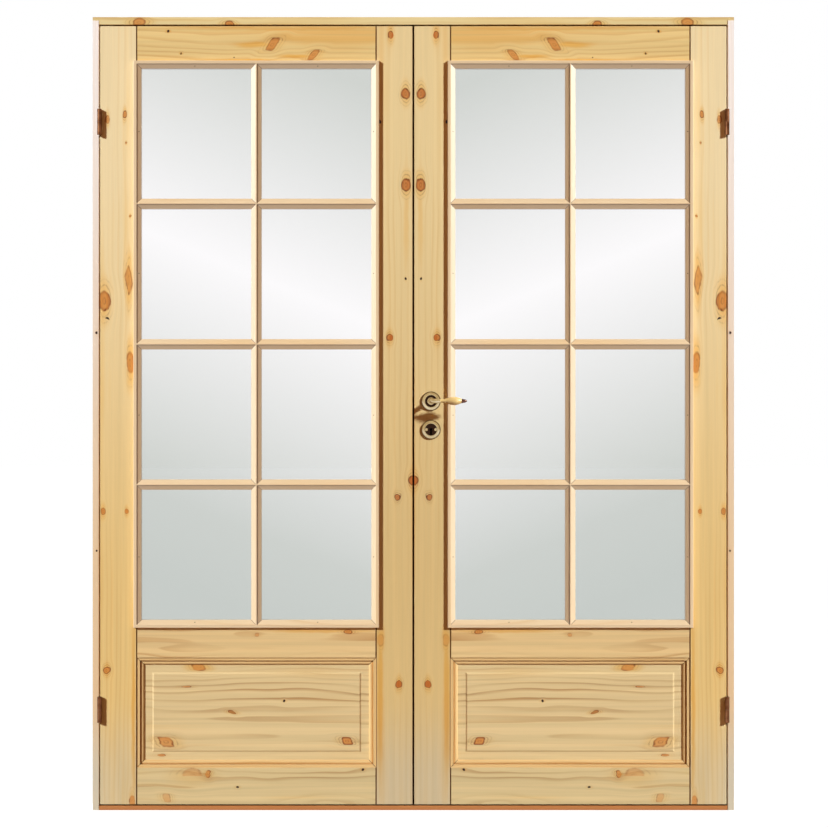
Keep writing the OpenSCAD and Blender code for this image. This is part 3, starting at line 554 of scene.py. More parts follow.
        drift = graph.math("MULTIPLY", stretched(2.4, 8.0, 0.0, 2.0), entry["Wander"])
        side = graph.total(entry["Flow"], drift, graph.math("MULTIPLY", entry["Heart Out"], -1.0))
        deep = graph.math("SUBTRACT", entry["Depth"], entry["Heart Deep"])
        ring = graph.math("SQRT", graph.math("ADD", graph.math("POWER", side, 2.0), graph.math("POWER", deep, 2.0)))
        uneven = graph.math("MULTIPLY", stretched(0.7, 26.0, 7.0, 1.0), 2.2)
        turn = graph.math("FRACT", graph.math("ADD", graph.math("DIVIDE", ring, entry["Pitch"]), uneven))
        late = graph.math("MULTIPLY", graph.ease(turn, 0.48, 0.92), graph.ease(turn, 1.0, 0.95))
        patch = graph.ease(stretched(1.5, 14.0, 17.0, 1.0), -0.10, 0.24, 0.08, 1.0)
        late = graph.math("MULTIPLY", graph.math("MULTIPLY", late, patch), entry["Line"])
        cloud = stretched(1.7, 11.0, 13.0, 2.0)
        band = stretched(0.8, 42.0, 23.0, 2.0)
        streak = stretched(1.6, 130.0, 3.0, 3.0)
        fibre = stretched(9.0, 620.0, 5.0, 3.0)
        wood = graph.blend(late, entry["Early Colour"], entry["Late Colour"])
        warm = graph.math("ADD", cloud, graph.math("MULTIPLY", band, 0.7))
        wood = graph.blend(graph.ease(warm, 0.0, 0.32, 0.0, 0.8), wood, entry["Heart Colour"])
        light = graph.total(
            1.0, graph.math("MULTIPLY", streak, entry["Streak"]), graph.math("MULTIPLY", fibre, 0.10),
            graph.math("MULTIPLY", band, entry["Streak"]),
        )
        wood = graph.blend(1.0, wood, light, "MULTIPLY")
        # Painted shade darker towards the bottom, and a painted cool bounce light near the floor.
        for top, end, painted_light in ((entry["Foot Shade Top"], 0.5, "Foot Painted Shade"), (0.32, 0.06, "Toe Painted Bounce")):
            painted_light_wood = graph.blend(1.0, wood, entry[painted_light], "MULTIPLY")
            wood = graph.blend(graph.ease(entry["Up"], top, end), wood, painted_light_wood)
        wood = graph.blend(graph.math("MULTIPLY", entry["Halo"], 0.8), wood, self.RESIN, "MULTIPLY")
        worn = graph.math("ADD", streak, fibre)
        grained = graph.math("MULTIPLY", entry["Core"], graph.ease(worn, -0.4, 0.3, 0.6, 0.95))
        wood = graph.blend(grained, wood, entry["Knot Colour"])
        broken = graph.math("MULTIPLY", entry["Rim"], graph.ease(worn, 0.3, -0.2, 0.25, 1.0))
        wood = graph.blend(broken, wood, entry["Rim Colour"])
        wood = graph.blend(entry["Black"], wood, self.PIN_BLACK)
        # Dark joints, with painted shade in the joint chamfers and lattice quirks.
        wood = graph.blend(entry["Seam"], wood, graph.blend(1.0, wood, self.JOINT_AND_PAINTED_SHADE, "MULTIPLY"))
        height = graph.total(
            graph.math("MULTIPLY", late, 0.35), graph.math("MULTIPLY", fibre, 0.8),
            graph.math("MULTIPLY", entry["Core"], -0.4),
        )
        gloss = graph.total(entry["Gloss"], graph.math("MULTIPLY", fibre, 0.16), graph.math("MULTIPLY", late, -0.05))
        return maker.close({"Color": wood, "Roughness": gloss, "Height": height})

    def material(
        self, name: str, finish: PineFinish, run: GrainRun | Mitre, knots: Sequence[Knot] = ()
    ) -> bpy.types.Material:
        """Makes one wood material.

        Args:
            name: the material's name.
            finish: colours and figure of the wood.
            run: which way the grain runs, or how the mitred lengths lie.
            knots: the knots on the board.

        Returns:
            The material.
        """
        material = bpy.data.materials.new(name)
        graph, surface = open_material(material)
        if isinstance(run, Mitre):
            place = graph.group(self.mitred, {
                "Start Out": run.start_out, "Pitch Out": run.pitch_out, "End Out": run.end_out,
                "Start Up": run.start_up, "Pitch Up": run.pitch_up, "End Up": run.end_up, "Quirk Shade": run.quirk,
            }).outputs
        else:
            low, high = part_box("left_mid_rail")
            place = graph.group(self.board, {
                "Level": run.value, "Joint In": -high[0], "Joint Out": -low[0]
            }).outputs
        chain: dict[str, Any] = {"Flow": place["Across"], "Core": 0.0, "Rim": 0.0, "Halo": 0.0, "Black": 0.0}
        level = run is GrainRun.LEVEL
        for knot in knots:
            along, across = (knot.out, knot.up) if level else (knot.up, knot.out)
            half_along, half_across = (knot.half_w, knot.half_h) if level else (knot.half_h, knot.half_w)
            placed = graph.group(self.knot, {
                **chain, "Along": place["Shaken Along"], "Across": place["Shaken Across"],
                "Centre Along": along * MM, "Centre Across": across * MM,
                "Half Along": half_along * MM, "Half Across": half_across * MM, "Depth": knot.depth,
                "Glow": knot.glow, "Pin": knot.pin, "Slant": knot.slant, "Corner": knot.corner, "Cut": knot.cut,
                "Ring": knot.ring,
            })
            chain = {label: placed.outputs[label] for label in chain}
        figure = graph.group(self.figure, {
            **chain, "Along": place["Along"], "Depth": place["Depth"], "Up": place["Up"],
            "Seam": graph.math("MULTIPLY", place["Seam"], finish.seam), **finish.inputs(),
        }).outputs
        graph.feed(surface.inputs["Base Color"], figure["Color"])
        graph.feed(surface.inputs["Roughness"], figure["Roughness"])
        bump = graph.add("ShaderNodeBump", {"Strength": 0.25, "Distance": 0.0004, "Height": figure["Height"]})
        graph.feed(surface.inputs["Normal"], bump.outputs[0])
        surface.inputs["Specular IOR Level"].default_value = finish.shine
        surface.inputs["Coat Weight"].default_value = finish.coat
        surface.inputs["Coat Roughness"].default_value = finish.coat_rough
        return material


def open_material(material: bpy.types.Material) -> tuple[Graph, bpy.types.Node]:
    """Empties a material and gives it one Principled shader.

    Args:
        material: the material to set up.

    Returns:
        The graph of its tree, and the shader node.
    """
    material.use_nodes = True
    material.node_tree.nodes.clear()
    graph = Graph(material.node_tree)
    surface = graph.add("ShaderNodeBsdfPrincipled")
    graph.add("ShaderNodeOutputMaterial", {"Surface": surface.outputs[0]})
    return graph, surface


class MetalShop:
    """Holds the node groups of the metals, and makes the metal, rubber and glass materials."""

    # Painted shade round the outer edge of a rose.
    ROSE_EDGE_SHADE: ClassVar[Colour] = srgb(104, 78, 44)

    def __init__(self) -> None:
        """Builds the groups once."""
        self.wear = self.make_wear()
        self.rose_reflection = self.make_rose_reflection()

    @staticmethod
    def make_wear() -> bpy.types.NodeTree:
        """Makes the group that gives metal and rubber fine brushing and soft stains."""
        outputs = {label: SocketKind.VALUE for label in ("Stain", "Brush")}
        maker = GroupMaker("metal_wear", {"Brush Scale": 60.0, "Seed": 0.0}, outputs)
        graph = maker.graph
        axes = graph.axes()
        shifted = graph.math("ADD", axes["X"], maker.entry["Seed"])
        stain = graph.noise(graph.vector(shifted, axes["Y"], axes["Z"]), 55.0, 4.0, 0.6)
        fine = graph.math("MULTIPLY", axes["Z"], maker.entry["Brush Scale"])
        brush = graph.noise(graph.vector(graph.math("MULTIPLY", shifted, 30.0), axes["Y"], fine), 40.0, 3.0)
        return maker.close({"Stain": graph.ease(stain, 0.35, 0.70), "Brush": brush})

    @staticmethod
    def make_rose_reflection() -> bpy.types.NodeTree:
        """Makes the group that masks the dished middle and the outer edge of a rose, where a dark reflection and shade
        are painted.
        """
        outputs = {label: SocketKind.VALUE for label in ("Mask", "Edge Shade")}
        maker = GroupMaker("rose_reflection_shade", {"Centre Up": 1.0, "Radius": 0.016, "Outer": 0.025}, outputs)
        graph = maker.graph
        axes = graph.axes()
        side = graph.math("SUBTRACT", axes["X"], Handle.lever_out)
        up = graph.math("SUBTRACT", axes["Z"], maker.entry["Centre Up"])
        reach = graph.math("SQRT", graph.math("ADD", graph.math("POWER", side, 2.0), graph.math("POWER", up, 2.0)))
        share = graph.math("DIVIDE", reach, maker.entry["Radius"])
        edge = graph.ease(graph.math("DIVIDE", reach, maker.entry["Outer"]), 0.88, 0.97)
        return maker.close({"Mask": graph.ease(share, 1.02, 0.97), "Edge Shade": edge})

    def metal(
        self, name: str, finish: MetalFinish, dark_reflection: tuple[float, Colour] | None = None
    ) -> bpy.types.Material:
        """Makes a metal material.

        Args:
            name: the material's name.
            finish: its colours and roughness.
            dark_reflection: height and colour of the dark reflection painted on a dished middle, if it has one.

        Returns:
            The material.
        """
        material = bpy.data.materials.new(name)
        graph, surface = open_material(material)
        wear = graph.group(self.wear, {"Brush Scale": finish.brush, "Seed": len(name)}).outputs
        colour = graph.blend(wear["Stain"], finish.plain, finish.worn)
        # Painted reflection of dark surroundings in the dished middle, and painted shade round the rim.
        if dark_reflection:
            up, dark = dark_reflection
            rose_reflection = graph.group(self.rose_reflection, {"Centre Up": up}).outputs
            colour = graph.blend(rose_reflection["Mask"], colour, dark)
            colour = graph.blend(rose_reflection["Edge Shade"], colour, self.ROSE_EDGE_SHADE)
        graph.feed(surface.inputs["Base Color"], colour)
        spread = graph.math("MULTIPLY", wear["Brush"], finish.rough - finish.smooth)
        graph.feed(surface.inputs["Roughness"], graph.math("ADD", spread, finish.smooth))
        bump = graph.add("ShaderNodeBump", {"Strength": 0.08, "Distance": 0.0001, "Height": wear["Brush"]})
        graph.feed(surface.inputs["Normal"], bump.outputs[0])
        surface.inputs["Metallic"].default_value = 1.0
        return material

    def rubber(self, name: str) -> bpy.types.Material:
        """Makes the black seal material."""
        material = bpy.data.materials.new(name)
        graph, surface = open_material(material)
        wear = graph.group(self.wear, {"Brush Scale": 8.0, "Seed": 3.0}).outputs
        colour = graph.blend(wear["Stain"], (0.003, 0.002, 0.002), (0.010, 0.008, 0.007))
        graph.feed(surface.inputs["Base Color"], colour)
        graph.feed(surface.inputs["Roughness"], graph.math("MULTIPLY_ADD", wear["Brush"], 0.2, 0.7))
        surface.inputs["Specular IOR Level"].default_value = 0.1
        return material

    @staticmethod
    def glass(name: str, painted_reflection: Sequence[tuple[float, Colour]], middle: float, lean: float) -> bpy.types.Material:
        """Makes the pane material, with painted reflection: its colour goes lighter and darker by a slanted height.

        Args:
            name: the material's name.
            painted_reflection: heights and the painted colour at each, from low to high.
            middle: distance from the doors' middle line at which the heights hold.
            lean: how much the tints climb per distance away from the middle line.

        Returns:
            The material.
        """
        material = bpy.data.materials.new(name)
        graph, surface = open_material(material)
        axes = graph.axes()
        low, high = painted_reflection[0][0], painted_reflection[-1][0]
        out = graph.math("SUBTRACT", graph.math("ABSOLUTE", axes["X"]), middle)
        height = graph.math("SUBTRACT", axes["Z"], graph.math("MULTIPLY", out, lean))
        share = graph.math("DIVIDE", graph.math("SUBTRACT", height, low), high - low)
        ramp = graph.add("ShaderNodeValToRGB", {0: share})
        stops = ramp.color_ramp.elements
        for number, (up, painted_light) in enumerate(painted_reflection):
            spot = (up - low) / (high - low)
            stop = stops[number] if number < len(stops) - 1 else stops[-1]
            if number == len(stops) - 1 and number < len(painted_reflection) - 1:
                stop = stops.new(spot)
            stop.position = spot
            stop.color = opaque(painted_light)
        graph.feed(surface.inputs["Base Color"], ramp.outputs[0])
        surface.inputs["Transmission Weight"].default_value = 1.0
        surface.inputs["Roughness"].default_value = 0.02
        surface.inputs["IOR"].default_value = 1.45
        return material


def dress(node: str, material: bpy.types.Material) -> None:
    """Gives a CAD node one material.

    Args:
        node: the node's name.
        material: its finish.
    """
    mesh = frame["nodes"][node].data
    mesh.materials.clear()
    mesh.materials.append(material)
    LOG.info("%s takes %s", node, material.name)


@dataclass
class DoorFrame:
    """The jambs, head, threshold, seals and the frame halves of the hinges."""

    # Its lower part takes painted shade and a painted cool bounce light from the floor.
    jamb: PineFinish = PineFinish(
        early=srgb(251, 235, 226), late=srgb(243, 219, 198), heart=srgb(246, 222, 206), foot_shade=(0.82, 0.64, 0.41),
        foot_shade_top=2.15, toe_bounce_light=(0.81, 1.0, 1.26),
        seed=4.0, streak=0.10, line=0.5,
    )
    head: PineFinish = PineFinish(
        early=srgb(231, 203, 146), late=srgb(208, 164, 98), heart=srgb(226, 184, 112), seed=9.0, heart_out=2.0
    )
    threshold: PineFinish = PineFinish(
        early=srgb(186, 118, 66), late=srgb(148, 77, 33), heart=srgb(170, 94, 42), seed=21.0, pitch=0.004
    )
    jamb_knots: tuple[Knot, ...] = (Knot(836, 1257, 3.2, 4.2, 0.0, 0.3, 1.0), Knot(834, 684, 2.6, 3.0, 0.0, 0.3, 1.0))
    head_knots: tuple[Knot, ...] = (Knot(723, 2076, 15.8, 10.0, ring=0.6), Knot(485, 2071, 12.0, 9.0, ring=1.0))

    def dress(
        self, woods: PineShop, brass: bpy.types.Material, steel: bpy.types.Material, seal: bpy.types.Material
    ) -> None:
        """Finishes the frame's pieces.

        Args:
            woods: maker of the wood materials.
            brass: finish of the hinges and the socket.
            steel: finish of the pins and the strike.
            seal: finish of the seal strips.
        """
        jamb = woods.material("pine_jamb", self.jamb, GrainRun.UPRIGHT, self.jamb_knots)
        dress("left_jamb", jamb)
        dress("right_jamb", jamb)
        dress("head", woods.material("pine_head", self.head, GrainRun.LEVEL, self.head_knots))
        dress("threshold", woods.material("oiled_hardwood", self.threshold, GrainRun.LEVEL))
        dress("frame_seal", seal)
        for node in ("frame_hinge_halves", "frame_hinge_screws", "threshold_bolt_socket"):
            dress(node, brass)
        for node in ("hinge_pins", "head_bolt_strike"):
            dress(node, steel)


@dataclass
class Brads:
    """Heads of the brads that hold a lattice, at the middle of each pane's outer sides."""

    slope_w: float
    radius: float = 1.3 * MM
    rise: float = 0.5 * MM
    sides: int = 12
    lip_w: float = 8.5 * MM
    quirk: float = 1.3 * MM
    slope_drop: float = 4.7 * MM
    dome: tuple[float, ...] = (0.0, 0.35, 0.7)

    def head(self, mesh: bmesh.types.BMesh, place: Vector, lean: Vector, face: float) -> None:
        """Adds one domed head.

        Args:
            mesh: the mesh to add to.
            place: the point on the lattice's slope.
            lean: the direction that the slope faces within the pane's plane.
            face: -1 on the front and 1 on the back.
        """
        normal = (Vector((0, face, 0)) * self.slope_w + lean * self.slope_drop).normalized()
        turn = normal.to_track_quat("Z", "Y").to_matrix().to_4x4()
        rings = []
        for share in self.dome:
            ring = []
            reach = self.radius * math.cos(share * math.pi / 2)
            for step in range(self.sides):
                angle = 2 * math.pi * step / self.sides
                lift = self.rise * math.sin(share * math.pi / 2) - self.rise / 4
                point = Vector((reach * math.cos(angle), reach * math.sin(angle), lift))
                ring.append(mesh.verts.new(place + (turn @ point)))
            rings.append(ring)
        for low, high in zip(rings, rings[1:]):
            for step in range(self.sides):
                after = (step + 1) % self.sides
                mesh.faces.new((low[step], low[after], high[after], high[step]))
        mesh.faces.new(rings[-1])
        mesh.faces.new(list(reversed(rings[0])))

    def build(self, lattice: str, body: str, panes: tuple[int, int], material: bpy.types.Material) -> bpy.types.Object:
        """Makes all brad heads of one lattice as one piece.

        Args:
            lattice: the lattice's CAD node.
            body: the body that it rides on.
            panes: number of panes across and up.
            material: finish of the heads.

        Returns:
            The new piece.
        """
        low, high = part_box(lattice)
        face = -1.0 if low[1] < 0 else 1.0
        depth = (low[1] if face < 0 else high[1]) - face * (self.quirk + self.slope_drop / 2)
        edge_in = self.lip_w + self.slope_w / 2
        mesh = bmesh.new()
        for share in ((n + 0.5) / panes[0] for n in range(panes[0])):
            across = low[0] + (high[0] - low[0]) * share
            self.head(mesh, Vector((across, depth, low[2] + edge_in)), Vector((0, 0, 1)), face)
            self.head(mesh, Vector((across, depth, high[2] - edge_in)), Vector((0, 0, -1)), face)
        for share in ((n + 0.5) / panes[1] for n in range(panes[1])):
            up = low[2] + (high[2] - low[2]) * share
            self.head(mesh, Vector((low[0] + edge_in, depth, up)), Vector((1, 0, 0)), face)
            self.head(mesh, Vector((high[0] - edge_in, depth, up)), Vector((-1, 0, 0)), face)
        bmesh.ops.recalc_face_normals(mesh, faces=mesh.faces)
        data = bpy.data.meshes.new(lattice.replace("lattice", "brads"))
        mesh.to_mesh(data)
        mesh.free()
        piece = bpy.data.objects.new(data.name, data)
        bpy.context.scene.collection.objects.link(piece)
        data.materials.append(material)
        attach(piece, body)
        LOG.info("%s made", piece.name)
        return piece


@dataclass
class Leaves:
    """Both leaves: stiles, rails, panels, lattices, glass and the small fittings in them."""

    panes: tuple[int, int] = (2, 4)
    lip: float = 8.5 * MM
    ridge: float = 3 * MM
    slopes: tuple[tuple[str, float], ...] = (("front", 12 * MM), ("back", 5.5 * MM))
    # The stiles' lower parts take painted shade and a painted cool bounce light from the floor.
    hinge_stile: PineFinish = PineFinish(
        early=srgb(242, 213, 164), late=srgb(229, 184, 121), heart=srgb(237, 198, 134), foot_shade=(0.89, 0.77, 0.53),
        toe_bounce_light=(0.865, 1.0, 1.50),
        seed=1.0, heart_out=0.62, line=0.45, wander=0.02, seam=1.0,
    )
    meeting_stile: PineFinish = PineFinish(
        early=srgb(233, 201, 146), late=srgb(217, 169, 102), heart=srgb(228, 182, 115), foot_shade=(0.85, 0.78, 0.66),
        toe_bounce_light=(0.88, 1.0, 1.42), knot=srgb(184, 88, 20), rim=srgb(98, 36, 8),
        seed=2.0, heart_out=0.16, line=0.45, wander=0.02, seam=1.0,
    )
    top_rail: PineFinish = PineFinish(
        early=srgb(231, 194, 129), late=srgb(205, 149, 79), heart=srgb(223, 169, 92), seed=3.0, heart_out=2.12,
        seam=1.0, line=0.55, streak=0.26,
    )
    mid_rail: PineFinish = PineFinish(
        early=srgb(225, 187, 131), late=srgb(180, 122, 64), heart=srgb(216, 169, 104), seed=5.0, heart_out=0.44,
        seam=1.0, heart_deep=0.035, pitch=0.007, wander=0.09, line=1.0, streak=0.34,
    )
    bottom_rail: PineFinish = PineFinish(
        early=srgb(213, 184, 134), late=srgb(168, 120, 66), heart=srgb(208, 169, 107), seed=6.0, heart_out=0.06,
        seam=1.0, heart_deep=0.05, pitch=0.008, wander=0.08, line=1.0, streak=0.34,
    )
    panel: PineFinish = PineFinish(
        early=srgb(223, 191, 139), late=srgb(170, 116, 62), heart=srgb(212, 169, 109), seed=7.0, heart_out=0.22,
        streak=0.28,
    )
    moulding: PineFinish = PineFinish(
        early=srgb(223, 180, 121), late=srgb(199, 144, 82), heart=srgb(219, 163, 97), seed=8.0, streak=0.10, seam=1.0,
    )
    # Its joint colour also paints shade in the quirks.
    lattice: PineFinish = PineFinish(
        early=srgb(223, 189, 148), late=srgb(210, 166, 116), heart=srgb(220, 178, 127), seed=11.0, streak=0.10,
        line=0.5, roughness=0.40, shine=1.0, coat=0.8, seam=0.9,
    )
    dowel: PineFinish = PineFinish(early=srgb(214, 176, 126), late=srgb(196, 152, 102), seed=12.0)
    hinge_stile_knots: tuple[Knot, ...] = (
        Knot(760, 1834, 5.3, 9.2), Knot(757, 1759, 2.6, 2.6), Knot(806, 1820, 6.6, 10.6), Knot(746, 1566, 2.6, 2.6),
        Knot(814, 1342, 17.0, 25.0, ring=0.5), Knot(750, 1397, 11.0, 36.0, 0.75, 1.0, 0.0, 0.25, 1.4),
        Knot(806, 1295, 5.0, 3.2, 0.0, 0.3, 1.0, 0.8), Knot(746, 1179, 8.5, 28.0, 0.9, 1.0, 0.0, 0.0, 3.0),
        Knot(817, 788, 6.6, 9.2), Knot(756, 787, 5.3, 6.6), Knot(733, 628, 3.9, 5.3),
        Knot(808, 369, 8.5, 8.5, ring=1.0), Knot(741, 22, 7.5, 17.1, 0.8), Knot(738, 240, 5.0, 120.0, 0.0, 0.9),
    )
    meeting_stile_knots: tuple[Knot, ...] = (
        Knot(59, 2044, 6.5, 11.0), Knot(20, 1888, 11.5, 14.5, ring=0.7), Knot(19, 1648, 11.5, 17.0, ring=0.7),
        Knot(20, 1401, 3.6, 4.2, 0.0, 0.4, 1.0), Knot(62, 1245, 8.5, 9.5, ring=0.8), Knot(38, 332, 8.5, 9.5, ring=0.8),
        Knot(88, 1814, 3.9, 5.3, 0.0, 0.0, 1.0), Knot(41, 826, 8.0, 8.0, 1.0, 0.3, ring=1.0),
        Knot(0, 869, 13.0, 13.0, 1.0, 0.3, ring=1.0), Knot(88, 300, 7.0, 95.0, 0.0, 1.0),
        Knot(86, 448, 9.0, 16.0, 0.3, 1.0), Knot(19, 1560, 6.0, 55.0, 0.0, 0.5),
    )
    top_rail_knots: tuple[Knot, ...] = (
        Knot(646, 2053, 3.2, 3.2, 0.3, 0.9, 1.0), Knot(612, 1994, 2.6, 2.6, 0.4, 0.9, 0.8),
        Knot(473, 1983, 1.8, 1.8, 0.2, 0.2, 0.9),
        Knot(371, 2018, 12.0, 17.0, 0.9, 0.5, 0.0, -0.85, 4.0, ring=0.6), Knot(420, 2017, 22.0, 7.0, 0.0, 1.0),
        Knot(264, 1990, 10.0, 13.0, 0.85, 0.5, 0.0, -0.9, 3.0, ring=0.6), Knot(310, 1986, 20.0, 5.0, 0.0, 1.0),
        Knot(420, 2060, 150.0, 3.5, 0.0, 0.6), Knot(445, 1976, 40.0, 3.0, 0.0, 1.0),
    )
    mid_rail_knots: tuple[Knot, ...] = (
        Knot(173, 469, 12.0, 4.5, ring=1.0), Knot(412, 462, 6.0, 4.5, 0.6, 0.2, ring=0.7),
        Knot(240, 472, 60.0, 4.0, 0.0, 0.9),
    )
    panel_knots: tuple[Knot, ...] = (
        Knot(567, 376, 15.0, 10.0, 0.8, 1.0, 0.0, 0.4, 3.0), Knot(599, 324, 12.0, 2.6, 0.9, 0.3),
        Knot(340, 288, 3.4, 3.4, 0.0, 0.6, 1.0), Knot(478, 257, 8.0, 5.5, 0.9, 0.6, 0.3, 0.8),
        Knot(653, 179, 17.0, 13.5, 0.85, 0.6, 0.0, 0.38, 5.0), Knot(664, 144, 11.0, 4.0, 0.9, 0.2),
        Knot(174, 181, 13.0, 9.0, 1.0, 0.4, 0.0, 0.3, 4.0, ring=1.0),
    )
    bottom_rail_knots: tuple[Knot, ...] = (
        Knot(582, 90, 26.0, 21.0, 0.45, 0.4, cut=0.0), Knot(541, 95, 6.5, 9.5, 0.9, 0.8),
        Knot(464, 60, 4.0, 3.4, 0.0, 0.5, 1.0), Knot(650, 32, 9.0, 11.0, 0.5, 0.3, 0.0, 0.4, 4.0),
        Knot(133, 107, 3.4, 3.4, 0.0, 0.6, 1.0),
    )
    # Painted reflection and shade: the panes go lighter and darker by height, standing in for the studio seen in the
    # glass.
    glass_painted_reflection: tuple[tuple[float, Colour], ...] = (
        (0.50, srgb(195, 201, 197)), (0.72, srgb(201, 206, 202)), (1.40, srgb(253, 252, 254)),
        (2.02, srgb(208, 212, 209)),
    )
    glass_middle: float = 0.40
    glass_lean: float = 0.41

    def mitre(self, node: str, columns: int, rows: int, inset: float, quirk: float = 0.0) -> Mitre:
        """Works out where the lengths of a mitred piece run.

        Args:
            node: the piece on the left leaf.
            columns: number of openings across.
            rows: number of openings up.
            inset: distance from the piece's edge to the middle of its outer lengths.
            quirk: how strong the painted shade is in the quirks beside the ridges.

        Returns:
            The layout.
        """
        low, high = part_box(node)
        wide, tall = high[0] - low[0] - 2 * inset, high[2] - low[2] - 2 * inset
        return Mitre(
            -high[0] + inset, wide / columns, -low[0] - inset, low[2] + inset, tall / rows, high[2] - inset, quirk
        )

    def dress(
        self, woods: PineShop, glass: bpy.types.Material, brass: bpy.types.Material, brad: bpy.types.Material
    ) -> None:
        """Finishes both leaves alike.

        Args:
            woods: maker of the wood materials.
            glass: finish of the panes.
            brass: finish of the hinges.
            brad: finish of the brads.
        """
        # The lattice gets painted shade in its quirks at full strength.
        lattice = self.mitre("left_front_lattice", *self.panes, self.lip - self.ridge / 2, 1.0)
        moulding = self.mitre("left_panel_mouldings", 1, 1, 0.0)
        upright, level = GrainRun.UPRIGHT, GrainRun.LEVEL
        boards = {
            "hinge_stile": (self.hinge_stile, upright, self.hinge_stile_knots),
            "meeting_stile": (self.meeting_stile, upright, self.meeting_stile_knots),
            "top_rail": (self.top_rail, level, self.top_rail_knots),
            "mid_rail": (self.mid_rail, level, self.mid_rail_knots),
            "bottom_rail": (self.bottom_rail, level, self.bottom_rail_knots),
            "panel": (self.panel, level, self.panel_knots),
        }
        finishes = {
            **{part: woods.material(f"pine_{part}", *board) for part, board in boards.items()},
            "panel_mouldings": woods.material("pine_panel_moulding", self.moulding, moulding),
            "front_lattice": woods.material("pine_lattice", self.lattice, lattice),
            "dowels": woods.material("beech_dowel", self.dowel, level),
            "glass": glass, "hinge_halves": brass, "hinge_screws": brass,
        }
        finishes["back_lattice"] = finishes["front_lattice"]
        for side in ("left", "right"):
            for part, material in finishes.items():
                dress(f"{side}_{part}", material)
            for face, slope in self.slopes:
                Brads(slope).build(f"{side}_{face}_lattice", f"{side}_leaf", self.panes, brad)


@dataclass
class Handle:
    """The lever handle, its roses and the lock and bolts that go with it."""

    lever_out: ClassVar[float] = 46.5 * MM
    lever_up: float = 1.078
    key_up: float = 1.003
    # Colour of the dark reflection painted in the dished middle of each rose.
    dark: Colour = srgb(58, 40, 32)
    grip: PineFinish = PineFinish(
        early=srgb(231, 192, 125), late=srgb(217, 171, 99), heart=srgb(225, 180, 109), seed=14.0, pitch=0.003,
        streak=0.08, roughness=0.24,
    )

    def dress(
        self, woods: PineShop, metals: MetalShop, brass: bpy.types.Material, steel: bpy.types.Material,
        seal: bpy.types.Material,
    ) -> None:
        """Finishes the handle, the lock and the flush bolts.

        Args:
            woods: maker of the wood materials.
            metals: maker of the metal materials.
            brass: finish of the flush bolts.
            steel: finish of the lock.
            seal: finish of the meeting seal.
        """
        nickel = MetalFinish(srgb(216, 200, 166), srgb(196, 176, 136), 0.10, 0.24)
        bronze = metals.metal("dark_tip", MetalFinish(srgb(128, 92, 82), srgb(84, 56, 48), 0.15, 0.30))
        shade = metals.metal("dark_steel", MetalFinish(srgb(52, 46, 42), srgb(34, 30, 28), 0.45, 0.65))
        plain = metals.metal("polished_nickel", nickel)
        rose = metals.metal("nickel_rose", nickel, (self.lever_up, self.dark))
        keyed = metals.metal("nickel_escutcheon", nickel, (self.key_up, self.dark))
        grip = woods.material("cream_grip", self.grip, GrainRun.LEVEL)
        for face in ("front", "back"):
            dress(f"{face}_rose", rose)
            dress(f"{face}_key_escutcheon", keyed)
            dress(f"{face}_lever", plain)
            dress(f"{face}_tip", bronze)
            dress(f"{face}_grip", grip)
        dress("escutcheon_screws", plain)
        dress("lock_case", shade)
        for node in ("lock_faceplate", "lock_strike_plate", "latch_bolt", "dead_bolt", "lock_follower", "spindle"):
            dress(node, steel)
        for node in ("top_bolt_case", "bottom_bolt_case", "top_flush_bolt", "bottom_flush_bolt"):
            dress(node, brass)
        for node in ("meeting_seal", "back_meeting_seal"):
            dress(node, seal)


